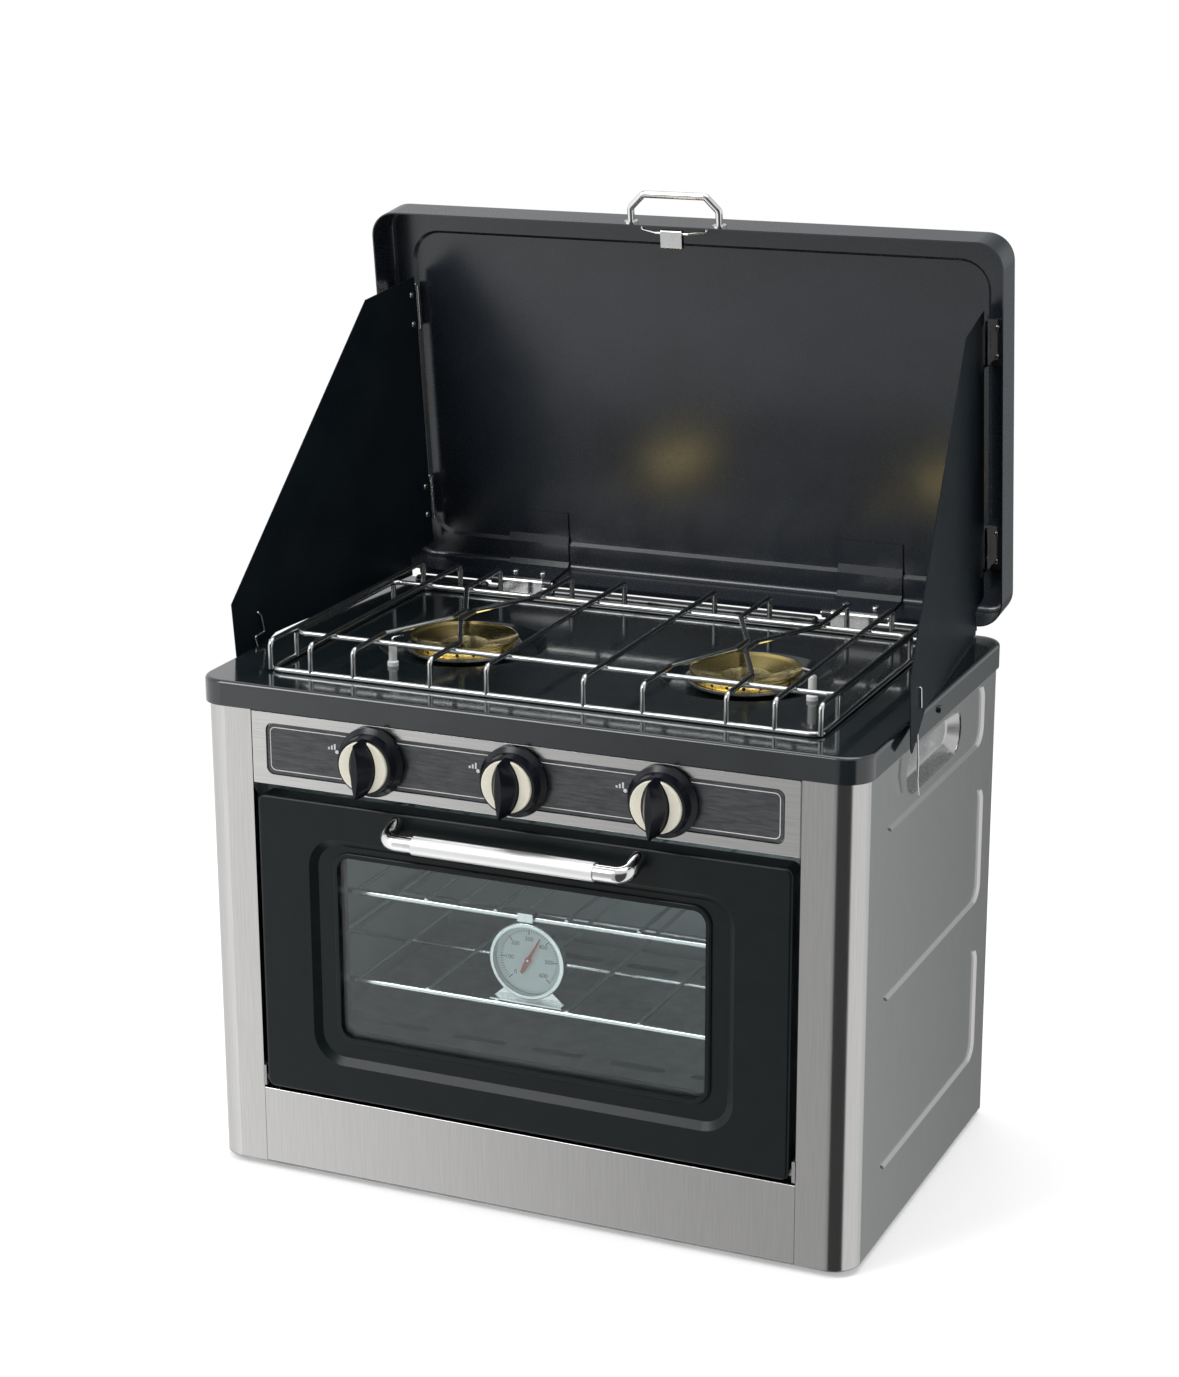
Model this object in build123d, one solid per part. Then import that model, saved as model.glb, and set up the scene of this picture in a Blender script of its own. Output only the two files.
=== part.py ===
from build123d import *
import math
import os

# Two-burner camping oven: cabinet, hob, drop-down door, open lid with two wind shields.
# Lengths in mm. X to the right, Y to the back, Z up. Heights count from the cabinet's underside
# and depths from the front of its columns; the last lines move all to the middle of the base.

# Cabinet
CAB_W = 508.0
CAB_D = 315.0
SHEET = 1.0
FRONT_R = 20.0
REAR_R = 4.0
COLUMN_W = 42.0
COLUMN_RETURN = 22.0
REAR_FLANGE = 30.0
SEAT = 0.3
FOOT_H = 5.0
FOOT_R = 12.0
FOOT_IN = 39.0
FOOT_FROM = 40.0
KICK_TOP = 61.5
KICK_FLANGE = 15.0

# Pressed fields in the sides: margins from the cabinet's front and back, limits under the tray
FIELDS = (((57.0, 27.0), (-308.0, -215.0)), ((54.0, 26.0), (-178.0, -86.0)), ((53.0, 31.0), (-52.0, -4.0)))
FIELD_DEPTH = 2.0
FIELD_R = 14.0

# Carry-handle cups, placed in the same way
CUP_MARGIN = (103.0, 83.0)
CUP_UNDER = (-42.0, -8.0)
CUP_DEPTH = 10.0
CUP_LIP = 4.0
CUP_DRAFT = 35

# Hob tray
TRAY_LAP = (2.0, 3.0, 10.0)
TRAY_GAP = 1.0
TRAY_SKIRT = 19.0
TRAY_R = (21.0, 19.0)
TRAY_SHEET = 1.2
TRAY_EDGE = 3.0
WELL_R = 64.0
WELL_DEPTH = 7.0
NECK_GAP = 1.0
CURB_H = 4.0
CURB_IN = 9.5
STUD = (159.0, 9.5)
STUD_R = 3.0

# Burners
BURNER_X = 113.3
BURNER_Y = 155.0
NECK_R = 27.0
NECK_DROP = 34.0
BOWL_R = 44.0
CAP_R = 41.0
CAP_RISE = 6.5
PORTS = 20
PORT_R = 1.3
TUBE_R = 8.0
IGNITER_H = 18.0
IGNITER_RIGHT = (63.7, -38.0)
IGNITER_LEFT = (-23.2, -73.0)

# Gas train
FASCIA_GAP = 7.5
FASCIA_H = 55.5
FASCIA_DEPTH = 18.0
INLAY_IN = (12.0, 8.0)
INLAY_R = 6.0
INLAY_DEPTH = 1.6
INLAY_T = 0.8
KNOB_PITCH = 112.5
KNOB_UP = 28.5
SPINDLE_R = 3.0
RUN = 0.05
SPINDLE_Y = (-12.0, 34.0)
VALVE_Y = (20.0, 50.0)
VALVE_HALF = 9.0
RAIL_R = 6.0
RAIL_Y = 34.0
RAIL_IN = 64.0
INLET_R = 6.5
INLET_L = 12.0
FITTING_R = 8.4
RAIL_END = 17.0

# Knobs
SKIRT_R = 26.0
KNOB_R = 21.0
FACE_R = 19.0
KNOB_BACK = -1.2
FACE_Y = (-17.0, -14.5)
FACE_FLOOR = 0.6
GRIP_FRONT = -30.0
GRIP_HALF_H = 22.0
GRIP_HALF_W = 10.5
RIDGE = (20.5, 2.6)
HUB_R = 8.0

# Door
DOOR_SIDE = 4.5
DOOR_SILL = 3.5
DOOR_H = 232.0
DOOR_Y = (-3.0, 14.0)
DOOR_R = 6.0
STEP_IN = (41.5, 27.0)
STEP_R = 24.0
STEP_DEPTH = 4.0
STEP_DRAFT = 55
WINDOW_IN = (22.0, 22.0, 14.0)
WINDOW_R = 10.0
BEAD_W = 4.0
BEAD_H = 2.0
GLASS_T = 3.5
GLASS_LAP = 8.0
INNER_IN = (6.5, 7.0, 5.0)
INNER_DEPTH = 6.0
DOOR_PIN = (3.0, 5.0)
DOOR_PIN_R = 2.5
HANDLE_HALF = 70.0
HANDLE_OUT = 19.0
HANDLE_DROP = 15.0
HANDLE_R = 7.0
BRACKET_OUT = 23.5
BRACKET_DROP = 7.5

# Oven
CAVITY_SIDE = 9.0
CAVITY_FRONT = 2.8
CAVITY_REAR = 13.2
CAVITY_SILL = 3.0
LINER_T = 0.8
RACK_UP = (83.0, 153.0)
RACK_IN = (5.0, 3.2, 9.8)
RACK_WIRE = 2.5
RACK_BAR = 1.6
RACK_PITCH = 56.0
LEDGE_W = 11.0
OVEN_BURNER = (137.2, 14.0)
FLAME_UP = 30.0

# Thermometer
DIAL_X = -3.0
DIAL_UP = 37.0
DIAL_R = 30.0
DIAL_IN = (-3.4, 4.0)
NEEDLE_TURN = 28.0

# Lid, in its own frame: origin on the hinge axis, upright; then leaned to the front
LID_IN = 6.0
LID_UP = 6.0
LID_LEAN = 6.5
LID_SIDE = 3.0
LID_H = 296.0
LID_RIM = 4.5
LID_BACK = 37.5
HEM = (2.0, 4.0)
LID_R = 20.0
LID_FIELD_IN = (18.0, 19.6, 21.0)
LID_FIELD_R = 24.0
LID_FIELD_DEPTH = 2.5
STRAP_X = 140.0
STRAP_W = 52.0
STRAP_T = 1.5
STRAP_TOP = 46.8
BARREL_R = 3.5
LID_PIN_R = 2.0
KNUCKLE_W = 37.0
LEAF_L = 19.0
BAIL_X = (25.0, 35.5)
BAIL_Y = 10.0
BAIL_H = 22.3
BAIL_R = 2.75
LATCH_HALF = 8.5
LATCH_ROD = (3.0, 5.0)
LATCH_ROD_R = 1.0

# Wind shields: outline as distance from the hinge line and height above the tray
SHIELD_IN = 22.0
SHIELD_FRONT = 6.0
SHIELD_TURN = 6.5
SHIELD_T = 0.8
SHIELD_OUTLINE = ((3.2, 24.0), (3.2, 246.0), (73.0, 238.0), (280.0, 37.0), (280.0, -14.0), (276.0, -17.5),
                  (229.0, 2.0), (206.0, 2.6), (30.0, 21.5))
BUTT_Z = (52.5, 213.0)
BUTT_H = 35.0
BUTT_R = 2.5
BUTT_PIN_R = 1.2
BUTT_T = 1.0
CLIP_PIVOT = (250.0, 23.5)
CLIP_TAG = 14.5
CLIP_PATH = ((246.5, 21.0), (244.5, 7.0), (257.0, 5.5), (254.0, -3.0), (249.5, -10.5), (247.0, -30.0),
             (250.5, -45.0), (247.0, -58.0))
CLIP_R = 0.8

# Pan support
WIRE_R = 2.0
GRATE_IN = (44.5, 36.0, 38.0)
GRATE_H = 23.0
RING_FROM = (-83.0, 77.0)
CROSS_X = (37.5, 179.5)
KINK_SPREAD = 31.0
KINK_FROM = (-71.0, -12.0, 11.0, 70.0)
KINK_GAP = 3.6


def block(x, y, z):
    """Box between pairs of limits."""
    corner = (Align.MIN, Align.MIN, Align.MIN)
    return Pos(x[0], y[0], z[0]) * Box(x[1] - x[0], y[1] - y[0], z[1] - z[0], align=corner)


def grown(limits, by):
    """Pair of limits moved apart, or together for a negative value."""
    return (limits[0] - by, limits[1] + by)


def inset(limits, low, high):
    """Pair of limits with its own margin at each end."""
    return (limits[0] + low, limits[1] - high)


def moved(values, by):
    """Values that all shift together."""
    return tuple(value + by for value in values)


def both(half):
    return (-half, half)


def front_plate(x, z, y, corner, draft=0):
    """Rounded rectangle seen from the front, from y[0] back to y[1]."""
    plane = Plane(origin=(0, y[0], 0), x_dir=(-1, 0, 0), z_dir=(0, 1, 0))
    middle = Pos(-(x[0] + x[1]) / 2, (z[0] + z[1]) / 2)
    outline = RectangleRounded(x[1] - x[0], z[1] - z[0], corner)
    return extrude(plane * middle * outline, y[1] - y[0], taper=draft)


def side_plate(y, z, x, corner, draft=0):
    """Rounded rectangle seen from the right, from x[0] in to x[1]."""
    plane = Plane(origin=(x[0], 0, 0), x_dir=(0, -1, 0), z_dir=(-1, 0, 0))
    middle = Pos(-(y[0] + y[1]) / 2, (z[0] + z[1]) / 2)
    outline = RectangleRounded(y[1] - y[0], z[1] - z[0], corner)
    return extrude(plane * middle * outline, x[0] - x[1], taper=draft)


def plan_plate(x, y, z, front, rear):
    """Plate seen from above with its own corner radius at the front and at the rear."""
    plate = block(x, y, z)
    edges = plate.edges().filter_by(Axis.Z)
    plate = fillet(edges.group_by(Axis.Y)[0], front)
    return fillet(plate.edges().filter_by(Axis.Z).group_by(Axis.Y)[-1], rear)


def rod(start, end, radius):
    """Round bar between two points."""
    line = Line(start, end)
    return extrude(Plane(origin=start, z_dir=line % 0) * Circle(radius), line.length)


def wire(points, radius, bend):
    """Round wire along points, with a bend at each inner point."""
    path = FilletPolyline(*points, radius=bend)
    return sweep(Plane(origin=path @ 0, z_dir=path % 0) * Circle(radius), path=path)


def ribbon(points, thickness):
    """Closed outline of a bent strip's section round its middle line."""
    heading = [math.atan2(b[1] - a[1], b[0] - a[0]) for a, b in zip(points, points[1:])]
    left = []
    right = []
    for index, (a, b) in enumerate(points):
        before = heading[max(index - 1, 0)]
        after = heading[min(index, len(heading) - 1)]
        turn = math.remainder(after - before, math.tau)
        middle = before + turn / 2
        reach = thickness / 2 / math.cos(turn / 2)
        left.append((a - reach * math.sin(middle), b + reach * math.cos(middle)))
        right.append((a + reach * math.sin(middle), b - reach * math.cos(middle)))
    return left + right[::-1]


def strip(points, thickness, x):
    """Bent strip whose section lies in Y and Z, from x[0] to x[1]."""
    section = Plane.YZ.offset(x[0]) * make_face(Polyline(*ribbon(points, thickness), close=True))
    return extrude(section, x[1] - x[0])


def turned(points):
    """Solid of revolution round the Z axis: points are radius and height."""
    return revolve(Plane.XZ * make_face(Polyline(*points, close=True)), Axis.Z)


def mirrored(part):
    return mirror(part, about=Plane.YZ)


def pair(part):
    """The part and its mirror image as one node."""
    return Compound(children=list(part.solids()) + list(mirrored(part).solids()))


# Across: columns, then what stands between them
half_w = CAB_W / 2
column_in = half_w - COLUMN_W
foot_x = half_w - FOOT_IN
rail_x = half_w - RAIL_IN
inlay_half = column_in - INLAY_IN[0]
door_half = column_in - DOOR_SIDE
step_half = door_half - STEP_IN[0]
window_half = step_half - WINDOW_IN[0]
inner_half = door_half - INNER_IN[0]
cavity_half = column_in - CAVITY_SIDE
rack_half = cavity_half - RACK_IN[0]
tray_half = half_w + TRAY_LAP[1]
lid_half = tray_half - LID_SIDE
shield_x = lid_half - SHIELD_IN
grate_half = tray_half - GRATE_IN[0]
knob_x = (-KNOB_PITCH, 0.0, KNOB_PITCH)

# Upwards: kick plate, door, fascia, tray, lid
door_z = (KICK_TOP + DOOR_SILL, KICK_TOP + DOOR_SILL + DOOR_H)
step_z = grown(door_z, -STEP_IN[1])
window_z = inset(step_z, WINDOW_IN[1], WINDOW_IN[2])
inner_z = inset(door_z, INNER_IN[1], INNER_IN[2])
cavity_z = inset(door_z, CAVITY_SILL, 0)
rack_z = moved(RACK_UP, cavity_z[0])
dial_z = rack_z[0] + DIAL_UP
handle_z = door_z[1] - HANDLE_DROP
bracket_z = door_z[1] - BRACKET_DROP
fascia_z = (door_z[1] + FASCIA_GAP, door_z[1] + FASCIA_GAP + FASCIA_H)
inlay_z = grown(fascia_z, -INLAY_IN[1])
knob_z = fascia_z[0] + KNOB_UP
rail_z = knob_z - VALVE_HALF - RAIL_R - RUN
tray_z = (fascia_z[1] + TRAY_GAP, fascia_z[1] + TRAY_GAP + TRAY_SKIRT)
tray_under = tray_z[1] - TRAY_SHEET
panel_top = tray_under - SEAT - 0.05
neck_z = tray_z[1] - NECK_DROP
cap_top = tray_z[1] + CAP_RISE
grate_top = tray_z[1] + GRATE_H
lid_z = (0.0, LID_H)

# Backwards: door, oven, tray, lid
inner_back = DOOR_Y[1] + INNER_DEPTH
cavity_y = (inner_back + CAVITY_FRONT, CAB_D - CAVITY_REAR)
rack_y = inset(cavity_y, RACK_IN[1], RACK_IN[2])
dial_y = moved(DIAL_IN, rack_y[0])
handle_y = DOOR_Y[0] - HANDLE_OUT
tray_y = (-TRAY_LAP[0], CAB_D + TRAY_LAP[2])
grate_y = inset(tray_y, GRATE_IN[1], GRATE_IN[2])
shield_y = LID_BACK - SHIELD_FRONT
lid_axis = (tray_y[1] - LID_IN, tray_z[1] + LID_UP)
door_axis = (DOOR_PIN[0], door_z[0] + DOOR_PIN[1])
fields = [(inset((0, CAB_D), *margin), moved(under, tray_z[0])) for margin, under in FIELDS]
cup_y = inset((0, CAB_D), *CUP_MARGIN)
cup_z = moved(CUP_UNDER, tray_z[0])


def wrap(x, y, z, front, rear):
    """Upright block with its two right-hand corners rounded."""
    body = block(x, y, z)
    corners = body.edges().filter_by(Axis.Z).group_by(Axis.X)[-1].sort_by(Axis.Y)
    body = fillet(corners[0], front)
    corners = body.edges().filter_by(Axis.Z).group_by(Axis.X)[-1].sort_by(Axis.Y)
    return fillet(corners[-1], rear)


def right_side_panel():
    """Side sheet that wraps round the front column and the rear corner."""
    z = (SHEET, panel_top)
    outer = wrap((column_in, half_w), (0, CAB_D), z, FRONT_R, REAR_R)
    inside = ((column_in + SHEET, half_w - SHEET), (SHEET, CAB_D - SHEET))
    inner = wrap(*inside, z, FRONT_R - SHEET, REAR_R - SHEET)
    panel = outer - inner
    panel -= block((column_in - 1, column_in + SHEET), (COLUMN_RETURN, CAB_D + 1), grown(z, 1))
    panel -= block((column_in - 1, half_w - REAR_FLANGE), (CAB_D - 2 * SHEET, CAB_D + 1), grown(z, 1))
    for y, height in fields:
        back = (half_w - SHEET, half_w - SHEET - FIELD_DEPTH)
        panel += side_plate(grown(y, 0.5), grown(height, 0.5), back, FIELD_R, 45)
    for y, height in fields:
        panel -= side_plate(y, height, (half_w, half_w - FIELD_DEPTH), FIELD_R, 45)
    slot = (cup_z[1] - cup_z[0]) / 2 - 0.01
    return panel - side_plate(cup_y, cup_z, (half_w, half_w - 3 * FIELD_DEPTH), slot)


def right_handle_cup():
    """Finger cup behind the carry-handle hole in the side."""
    floor = half_w - SHEET - FIELD_DEPTH
    slot = (cup_z[1] - cup_z[0]) / 2 - 0.01
    z = cup_z
    cup = side_plate(cup_y, z, (floor, floor - CUP_DEPTH), slot, CUP_DRAFT)
    cup = fillet(cup.faces().sort_by(Axis.X)[0].edges(), 4)
    depth = (floor, floor - CUP_DEPTH + SHEET)
    inside = side_plate(grown(cup_y, -SHEET), grown(z, -SHEET), depth, slot - SHEET, CUP_DRAFT)
    inside = fillet(inside.faces().sort_by(Axis.X)[0].edges(), 3)
    lip = side_plate(grown(cup_y, CUP_LIP), (z[0] - CUP_LIP, z[1]), (floor, floor - SHEET), slot)
    return cup + lip - inside


def back_panel():
    """Flat sheet behind the rear flanges, with vent slots and the gas inlet's hole."""
    y = (CAB_D - 2 * SHEET, CAB_D - SHEET)
    panel = block(both(half_w - REAR_R - SEAT), y, (SHEET, panel_top))
    for column in (-150, -75, 0, 75, 150):
        for under in (49, 21, 9):
            row = tray_z[0] - under
            if column < 150 or under < 40:
                panel -= front_plate(grown((column, column), 24), grown((row, row), 2.5), grown(y, 1), 2.4)
    return panel - rod((rail_x, y[0] - 1, rail_z), (rail_x, y[1] + 1, rail_z), FITTING_R + 0.6)


def base_plate():
    plate = plan_plate(both(half_w), (0, CAB_D), (0, SHEET), FRONT_R, REAR_R)
    slot = extrude(SlotOverall(60, 6), 4, both=True)
    for x in (-120, 0, 120):
        plate -= Pos(x, CAB_D / 2, 0) * slot
    return plate


def rubber_feet():
    """Four stepped feet with a screw recess."""
    foot = turned([(3.5, -FOOT_H), (FOOT_R - 2, -FOOT_H), (FOOT_R - 1.5, -FOOT_H + 0.5), (FOOT_R, 0),
                   (0, 0), (0, -2), (3.5, -2)])
    depths = grown((0, CAB_D), -FOOT_FROM)
    return Compound(children=[Pos(x, y, 0) * foot for x in both(foot_x) for y in depths])


def kick_plate():
    """Front sheet under the door, folded back at its top and bottom."""
    middle = SHEET / 2
    section = [(KICK_FLANGE, SHEET + middle), (middle, SHEET + middle), (middle, KICK_TOP - middle),
               (KICK_FLANGE, KICK_TOP - middle)]
    plate = strip(section, SHEET, both(column_in - SEAT))
    return fillet(plate.edges().filter_by(Axis.X).filter_by_position(Axis.Y, -0.01, 0.01), 0.8)


def control_fascia():
    """Folded front panel over the door with a recess for the printed strip."""
    x = both(column_in - SEAT)
    box = front_plate(x, fascia_z, (0, FASCIA_DEPTH), 1.2)
    box = fillet(box.faces().sort_by(Axis.Y)[0].edges(), 0.8)
    box -= block(grown(x, -SHEET), (SHEET, FASCIA_DEPTH + 1), grown(fascia_z, -SHEET))
    box += front_plate(both(inlay_half + 0.4), grown(inlay_z, 0.4), (SHEET, SHEET + INLAY_DEPTH), INLAY_R)
    box -= front_plate(both(inlay_half), inlay_z, (0, INLAY_DEPTH), INLAY_R, 20)
    return box - knob_holes(SPINDLE_R + 3, 0)


def knob_holes(radius, start):
    holes = [rod((x, start - 1, knob_z), (x, start + 8, knob_z), radius) for x in knob_x]
    return Compound(children=holes)


def fascia_inlay():
    edge = inlay_half - 0.9
    plate = front_plate(both(edge), grown(inlay_z, -0.9), (INLAY_DEPTH - INLAY_T, INLAY_DEPTH), INLAY_R - 1)
    return plate - knob_holes(SPINDLE_R + 3, 0)


def rear_curb():
    """Pressed bead along the tray's rear edge, open at the two lid hinges, and its hollow underside."""
    y = tray_y[1] - CURB_IN
    z = tray_z[1]
    gap = (STRAP_X - STRAP_W / 2 - 2, STRAP_X + STRAP_W / 2 + 2)
    edge = tray_half - TRAY_R[1] - CURB_H
    bead = []
    hollow = []
    for span in ((-edge, -gap[1]), both(gap[0]), (gap[1], edge)):
        start, end = grown(span, -CURB_H)
        bead.append(rod((start, y, z), (end, y, z), CURB_H))
        bead += [Pos(x, y, z) * Sphere(CURB_H) for x in (start, end)]
        hollow.append(rod((start, y, z), (end, y, z), CURB_H - TRAY_SHEET))
    below = block(both(tray_half), grown((y, y), CURB_H + 1), (z - CURB_H - 1, tray_under))
    return bead, hollow, below


def hob_tray():
    """Pressed top with a skirt, two wells, the burner holes and a rear bead."""
    outer = plan_plate(both(tray_half), tray_y, tray_z, *TRAY_R)
    outer = fillet(outer.faces().sort_by(Axis.Z)[-1].edges(), TRAY_EDGE)
    t = TRAY_SHEET
    corners = (TRAY_R[0] - t, TRAY_R[1] - t)
    inner = plan_plate(both(tray_half - t), grown(tray_y, -t), (tray_z[0] - 1, tray_under), *corners)
    inner = fillet(inner.faces().sort_by(Axis.Z)[-1].edges(), TRAY_EDGE - t)
    tray = outer - inner
    floor = tray_z[1] - WELL_DEPTH
    rim = WELL_R + 0.6
    for x in both(BURNER_X):
        dish = turned([(0, floor - t), (WELL_R - 8, floor - t), (rim, tray_under), (rim, tray_under + 0.2),
                       (0, tray_under + 0.2)])
        hollow = turned([(0, floor), (WELL_R - 8.5, floor), (WELL_R, tray_z[1]), (WELL_R, tray_z[1] + 1),
                         (0, tray_z[1] + 1)])
        neck = Pos(0, 0, floor) * Cylinder(NECK_R + NECK_GAP, 60)
        tray = tray + Pos(x, BURNER_Y, 0) * dish - Pos(x, BURNER_Y, 0) * hollow - Pos(x, BURNER_Y, 0) * neck
    bead, hollow, below = rear_curb()
    for part in bead:
        tray += part - below
    for part in hollow:
        tray -= part
    place = (STUD[0], tray_z[0] + STUD[1])
    stud = rod((tray_half - t, *place), (tray_half + 2.4, *place), STUD_R)
    stud = fillet(stud.edges().sort_by(Axis.X)[-1], 1.2)
    return tray + stud + mirrored(stud)


def burner_bowls():
    """Silver mixing bowls that stand in the wells and go down through the tray."""
    floor = tray_z[1] - WELL_DEPTH
    bowl = turned([(0, neck_z), (NECK_R, neck_z), (NECK_R, floor), (NECK_R + 6, floor),
                   (BOWL_R - 1, floor + 4.6), (BOWL_R, floor + 6.6), (BOWL_R - 1.4, floor + 6.8),
                   (NECK_R + 5, floor + 1.6), (NECK_R - 1.5, floor + 1.6), (NECK_R - 1.5, neck_z + 1.5),
                   (0, neck_z + 1.5)])
    return Compound(children=[Pos(x, BURNER_Y, 0) * bowl for x in both(BURNER_X)])


def burner_caps():
    """Dished brass caps with a ring of flame ports."""
    top = cap_top
    seat = tray_z[1] - WELL_DEPTH + 1.7
    outside = [(NECK_R + 4.5, seat), (CAP_R - 2.5, seat + 4.2), (CAP_R - 1.5, top - 3.4),
               (CAP_R, top - 1.6), (CAP_R, top - 0.4), (CAP_R - 1.4, top), (CAP_R - 5, top - 1.2),
               (18, top - 5.2), (0, top - 5.2)]
    inside = [(0, top - 6.4), (17.6, top - 6.4), (CAP_R - 5.4, top - 2.6), (CAP_R - 2.8, top - 3.4),
              (CAP_R - 3.8, seat + 4.6), (NECK_R + 3, seat + 1.0), (NECK_R + 3, seat)]
    cap = turned(outside + inside)
    port = rod((CAP_R - 6, 0, top - 5), (CAP_R + 2, 0, top - 5), PORT_R)
    cap -= Compound(children=[Rot(0, 0, 360 * k / PORTS) * port for k in range(PORTS)])
    return Compound(children=[Pos(x, BURNER_Y, 0) * cap for x in both(BURNER_X)])


def burner_tubes():
    """Mixing tubes from behind the outer valves up to the burner necks."""
    start = VALVE_Y[1]
    level = neck_z + TUBE_R + 3
    x = knob_x[2]
    tube = wire([(x, start + 1.5, knob_z), (x, BURNER_Y - 63, knob_z), (BURNER_X, BURNER_Y - 47, level),
                 (BURNER_X, BURNER_Y - NECK_R - SEAT, level)], TUBE_R, 10)
    tube += rod((x, start + 0.2, knob_z), (x, start + 16, knob_z), TUBE_R + 3)
    tube -= rod((x, start - 1, knob_z), (x, start + 12, knob_z), TUBE_R + 1)
    return pair(tube)


def gas_valves():
    """Three brass valves that bear on the fascia's back and stand on the gas rail."""
    valve = block(both(VALVE_HALF), VALVE_Y, both(VALVE_HALF))
    valve = fillet(valve.edges().filter_by(Axis.Y), 2.5)
    nose = rod((0, SHEET + INLAY_DEPTH, 0), (0, VALVE_Y[0] + 1, 0), VALVE_HALF - 1)
    jet = rod((0, VALVE_Y[1] - 1, 0), (0, VALVE_Y[1] + 5, 0), 3)
    valve = valve + nose + jet - rod((0, 0, 0), (0, SPINDLE_Y[1] + 1, 0), SPINDLE_R + RUN)
    return Compound(children=[Pos(x, 0, knob_z) * valve for x in knob_x])


def gas_manifold():
    """Gas rail under the valves that runs back along the right side."""
    left = knob_x[0] - VALVE_HALF - 4.5
    rear = CAB_D - RAIL_END
    return wire([(left, RAIL_Y, rail_z), (rail_x, RAIL_Y, rail_z), (rail_x, rear, rail_z)], RAIL_R, 22)


def gas_inlet():
    """Brass inlet fitting through the back panel."""
    start = CAB_D - RAIL_END
    wall = CAB_D - SHEET
    body = rod((0, start, 0), (0, wall + 8, 0), FITTING_R)
    nut = extrude(Plane.XZ.offset(-wall - 0.2) * RegularPolygon(12, 6), -6)
    spigot = rod((0, wall + 5, 0), (0, wall + 8 + INLET_L, 0), INLET_R)
    fitting = body + nut + spigot - rod((0, wall + 4, 0), (0, wall + 30, 0), 3.0)
    return Pos(rail_x, 0, rail_z) * fitting


def spindle():
    return rod((0, SPINDLE_Y[0], 0), (0, SPINDLE_Y[1], 0), SPINDLE_R)


def lens(half_height, half_width, y):
    """Pointed oval face at a depth, its long way upright."""
    top = (0, half_height)
    low = (0, -half_height)
    outline = ThreePointArc(top, (half_width, 0), low) + ThreePointArc(low, (-half_width, 0), top)
    return Plane.XZ.offset(-y) * make_face(outline)


def knob_grip():
    """Skirt, drum and the finger grip that narrows to a ridge, with the spindle's bore."""
    back = KNOB_BACK
    profile = [(0, back), (SKIRT_R, back), (SKIRT_R, back - 2.6), (KNOB_R + 1.5, back - 5.5),
               (KNOB_R, FACE_Y[1]), (0, FACE_Y[1])]
    drum = Rot(-90, 0, 0) * turned(profile)
    base = FACE_Y[1] - FACE_FLOOR - 0.2
    grip = loft([lens(GRIP_HALF_H, GRIP_HALF_W, base), lens(*RIDGE, GRIP_FRONT)])
    hub = rod((0, FACE_Y[1] + 0.5, 0), (0, base - 1, 0), HUB_R)
    return drum + grip + hub - rod((0, SPINDLE_Y[0], 0), (0, 5, 0), SPINDLE_R)


def knob_face():
    """Cream disc in front of the drum with the grip's pocket and the hub's hole."""
    disc = rod((0, FACE_Y[1], 0), (0, FACE_Y[0], 0), FACE_R)
    disc = fillet(disc.faces().sort_by(Axis.Y)[0].edges(), 1.0)
    gap = 0.2
    pocket = extrude(lens(GRIP_HALF_H + gap, GRIP_HALF_W + gap, FACE_Y[1] - FACE_FLOOR), 10)
    return disc - pocket - rod((0, 0, 0), (0, FACE_Y[0] - 1, 0), HUB_R + gap)


def oven_liner():
    """Open-fronted oven box with a flange behind the door."""
    t = LINER_T
    x = both(cavity_half)
    front, rear = cavity_y
    shell = block(grown(x, t), (front - t, rear + t), grown(cavity_z, t))
    flange = block(both(column_in + 4), (front - t, front), (KICK_TOP + 0.5, fascia_z[0] - 1))
    liner = shell + flange - block(x, (front - 2 * t, rear), cavity_z)
    vent_z = cavity_z[1] - 12
    for side in (-30, 0, 30):
        liner -= rod((side, rear - 1, vent_z), (side, rear + 2, vent_z), 4)
    return liner


def rack_runners():
    """Folded ledges on the oven's side walls, one pair for each rack."""
    t = 1.0
    runners = []
    for z in rack_z:
        top = z - RACK_WIRE
        ledge = block((cavity_half - LEDGE_W, cavity_half), (rack_y[0] + 4, rack_y[1] - 2), (top - t, top))
        wall = block((cavity_half - t, cavity_half), (rack_y[0] + 4, rack_y[1] - 2), (top - 12, top))
        runners.append(ledge + wall)
    return pair(Compound(children=runners))


def oven_rack(z):
    """Chromed rack: a frame, bars from front to back and two braces under them."""
    x, y = rack_half, rack_y
    frame = wire([(0, y[0], z), (x, y[0], z), (x, y[1], z), (0, y[1], z)], RACK_WIRE, 8)
    frame += mirrored(frame)
    lift = z + RACK_WIRE - RACK_BAR + 0.9
    bars = []
    steps = int(x // RACK_PITCH)
    for k in range(-steps, steps + 2):
        bar_x = (k - 0.5) * RACK_PITCH
        if abs(bar_x) < x - 10:
            bars.append(rod((bar_x, y[0] - 1.6, lift), (bar_x, y[1], lift), RACK_BAR))
    for bar_y in inset(y, 89, 87):
        bars.append(rod((-x, bar_y, z - 0.4), (x, bar_y, z - 0.4), RACK_BAR + 0.4))
    return frame + bars


def oven_burner():
    """Straight tube burner on two feet on the oven's floor."""
    y = cavity_y[0] + OVEN_BURNER[0]
    z = cavity_z[0] + OVEN_BURNER[1]
    half = cavity_half - 53
    tube = rod((-half, y, z), (half, y, z), 9)
    tube = fillet(tube.edges(), 3)
    feet = [block(grown((x, x), 1), (y - 7, y + 7), (cavity_z[0], z)) for x in (-110, 110)]
    tube = tube + feet
    for k in range(9):
        tube -= rod((-120 + 30 * k, y, z + 5), (-120 + 30 * k, y, z + 12), 1.6)
    return tube


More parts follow.
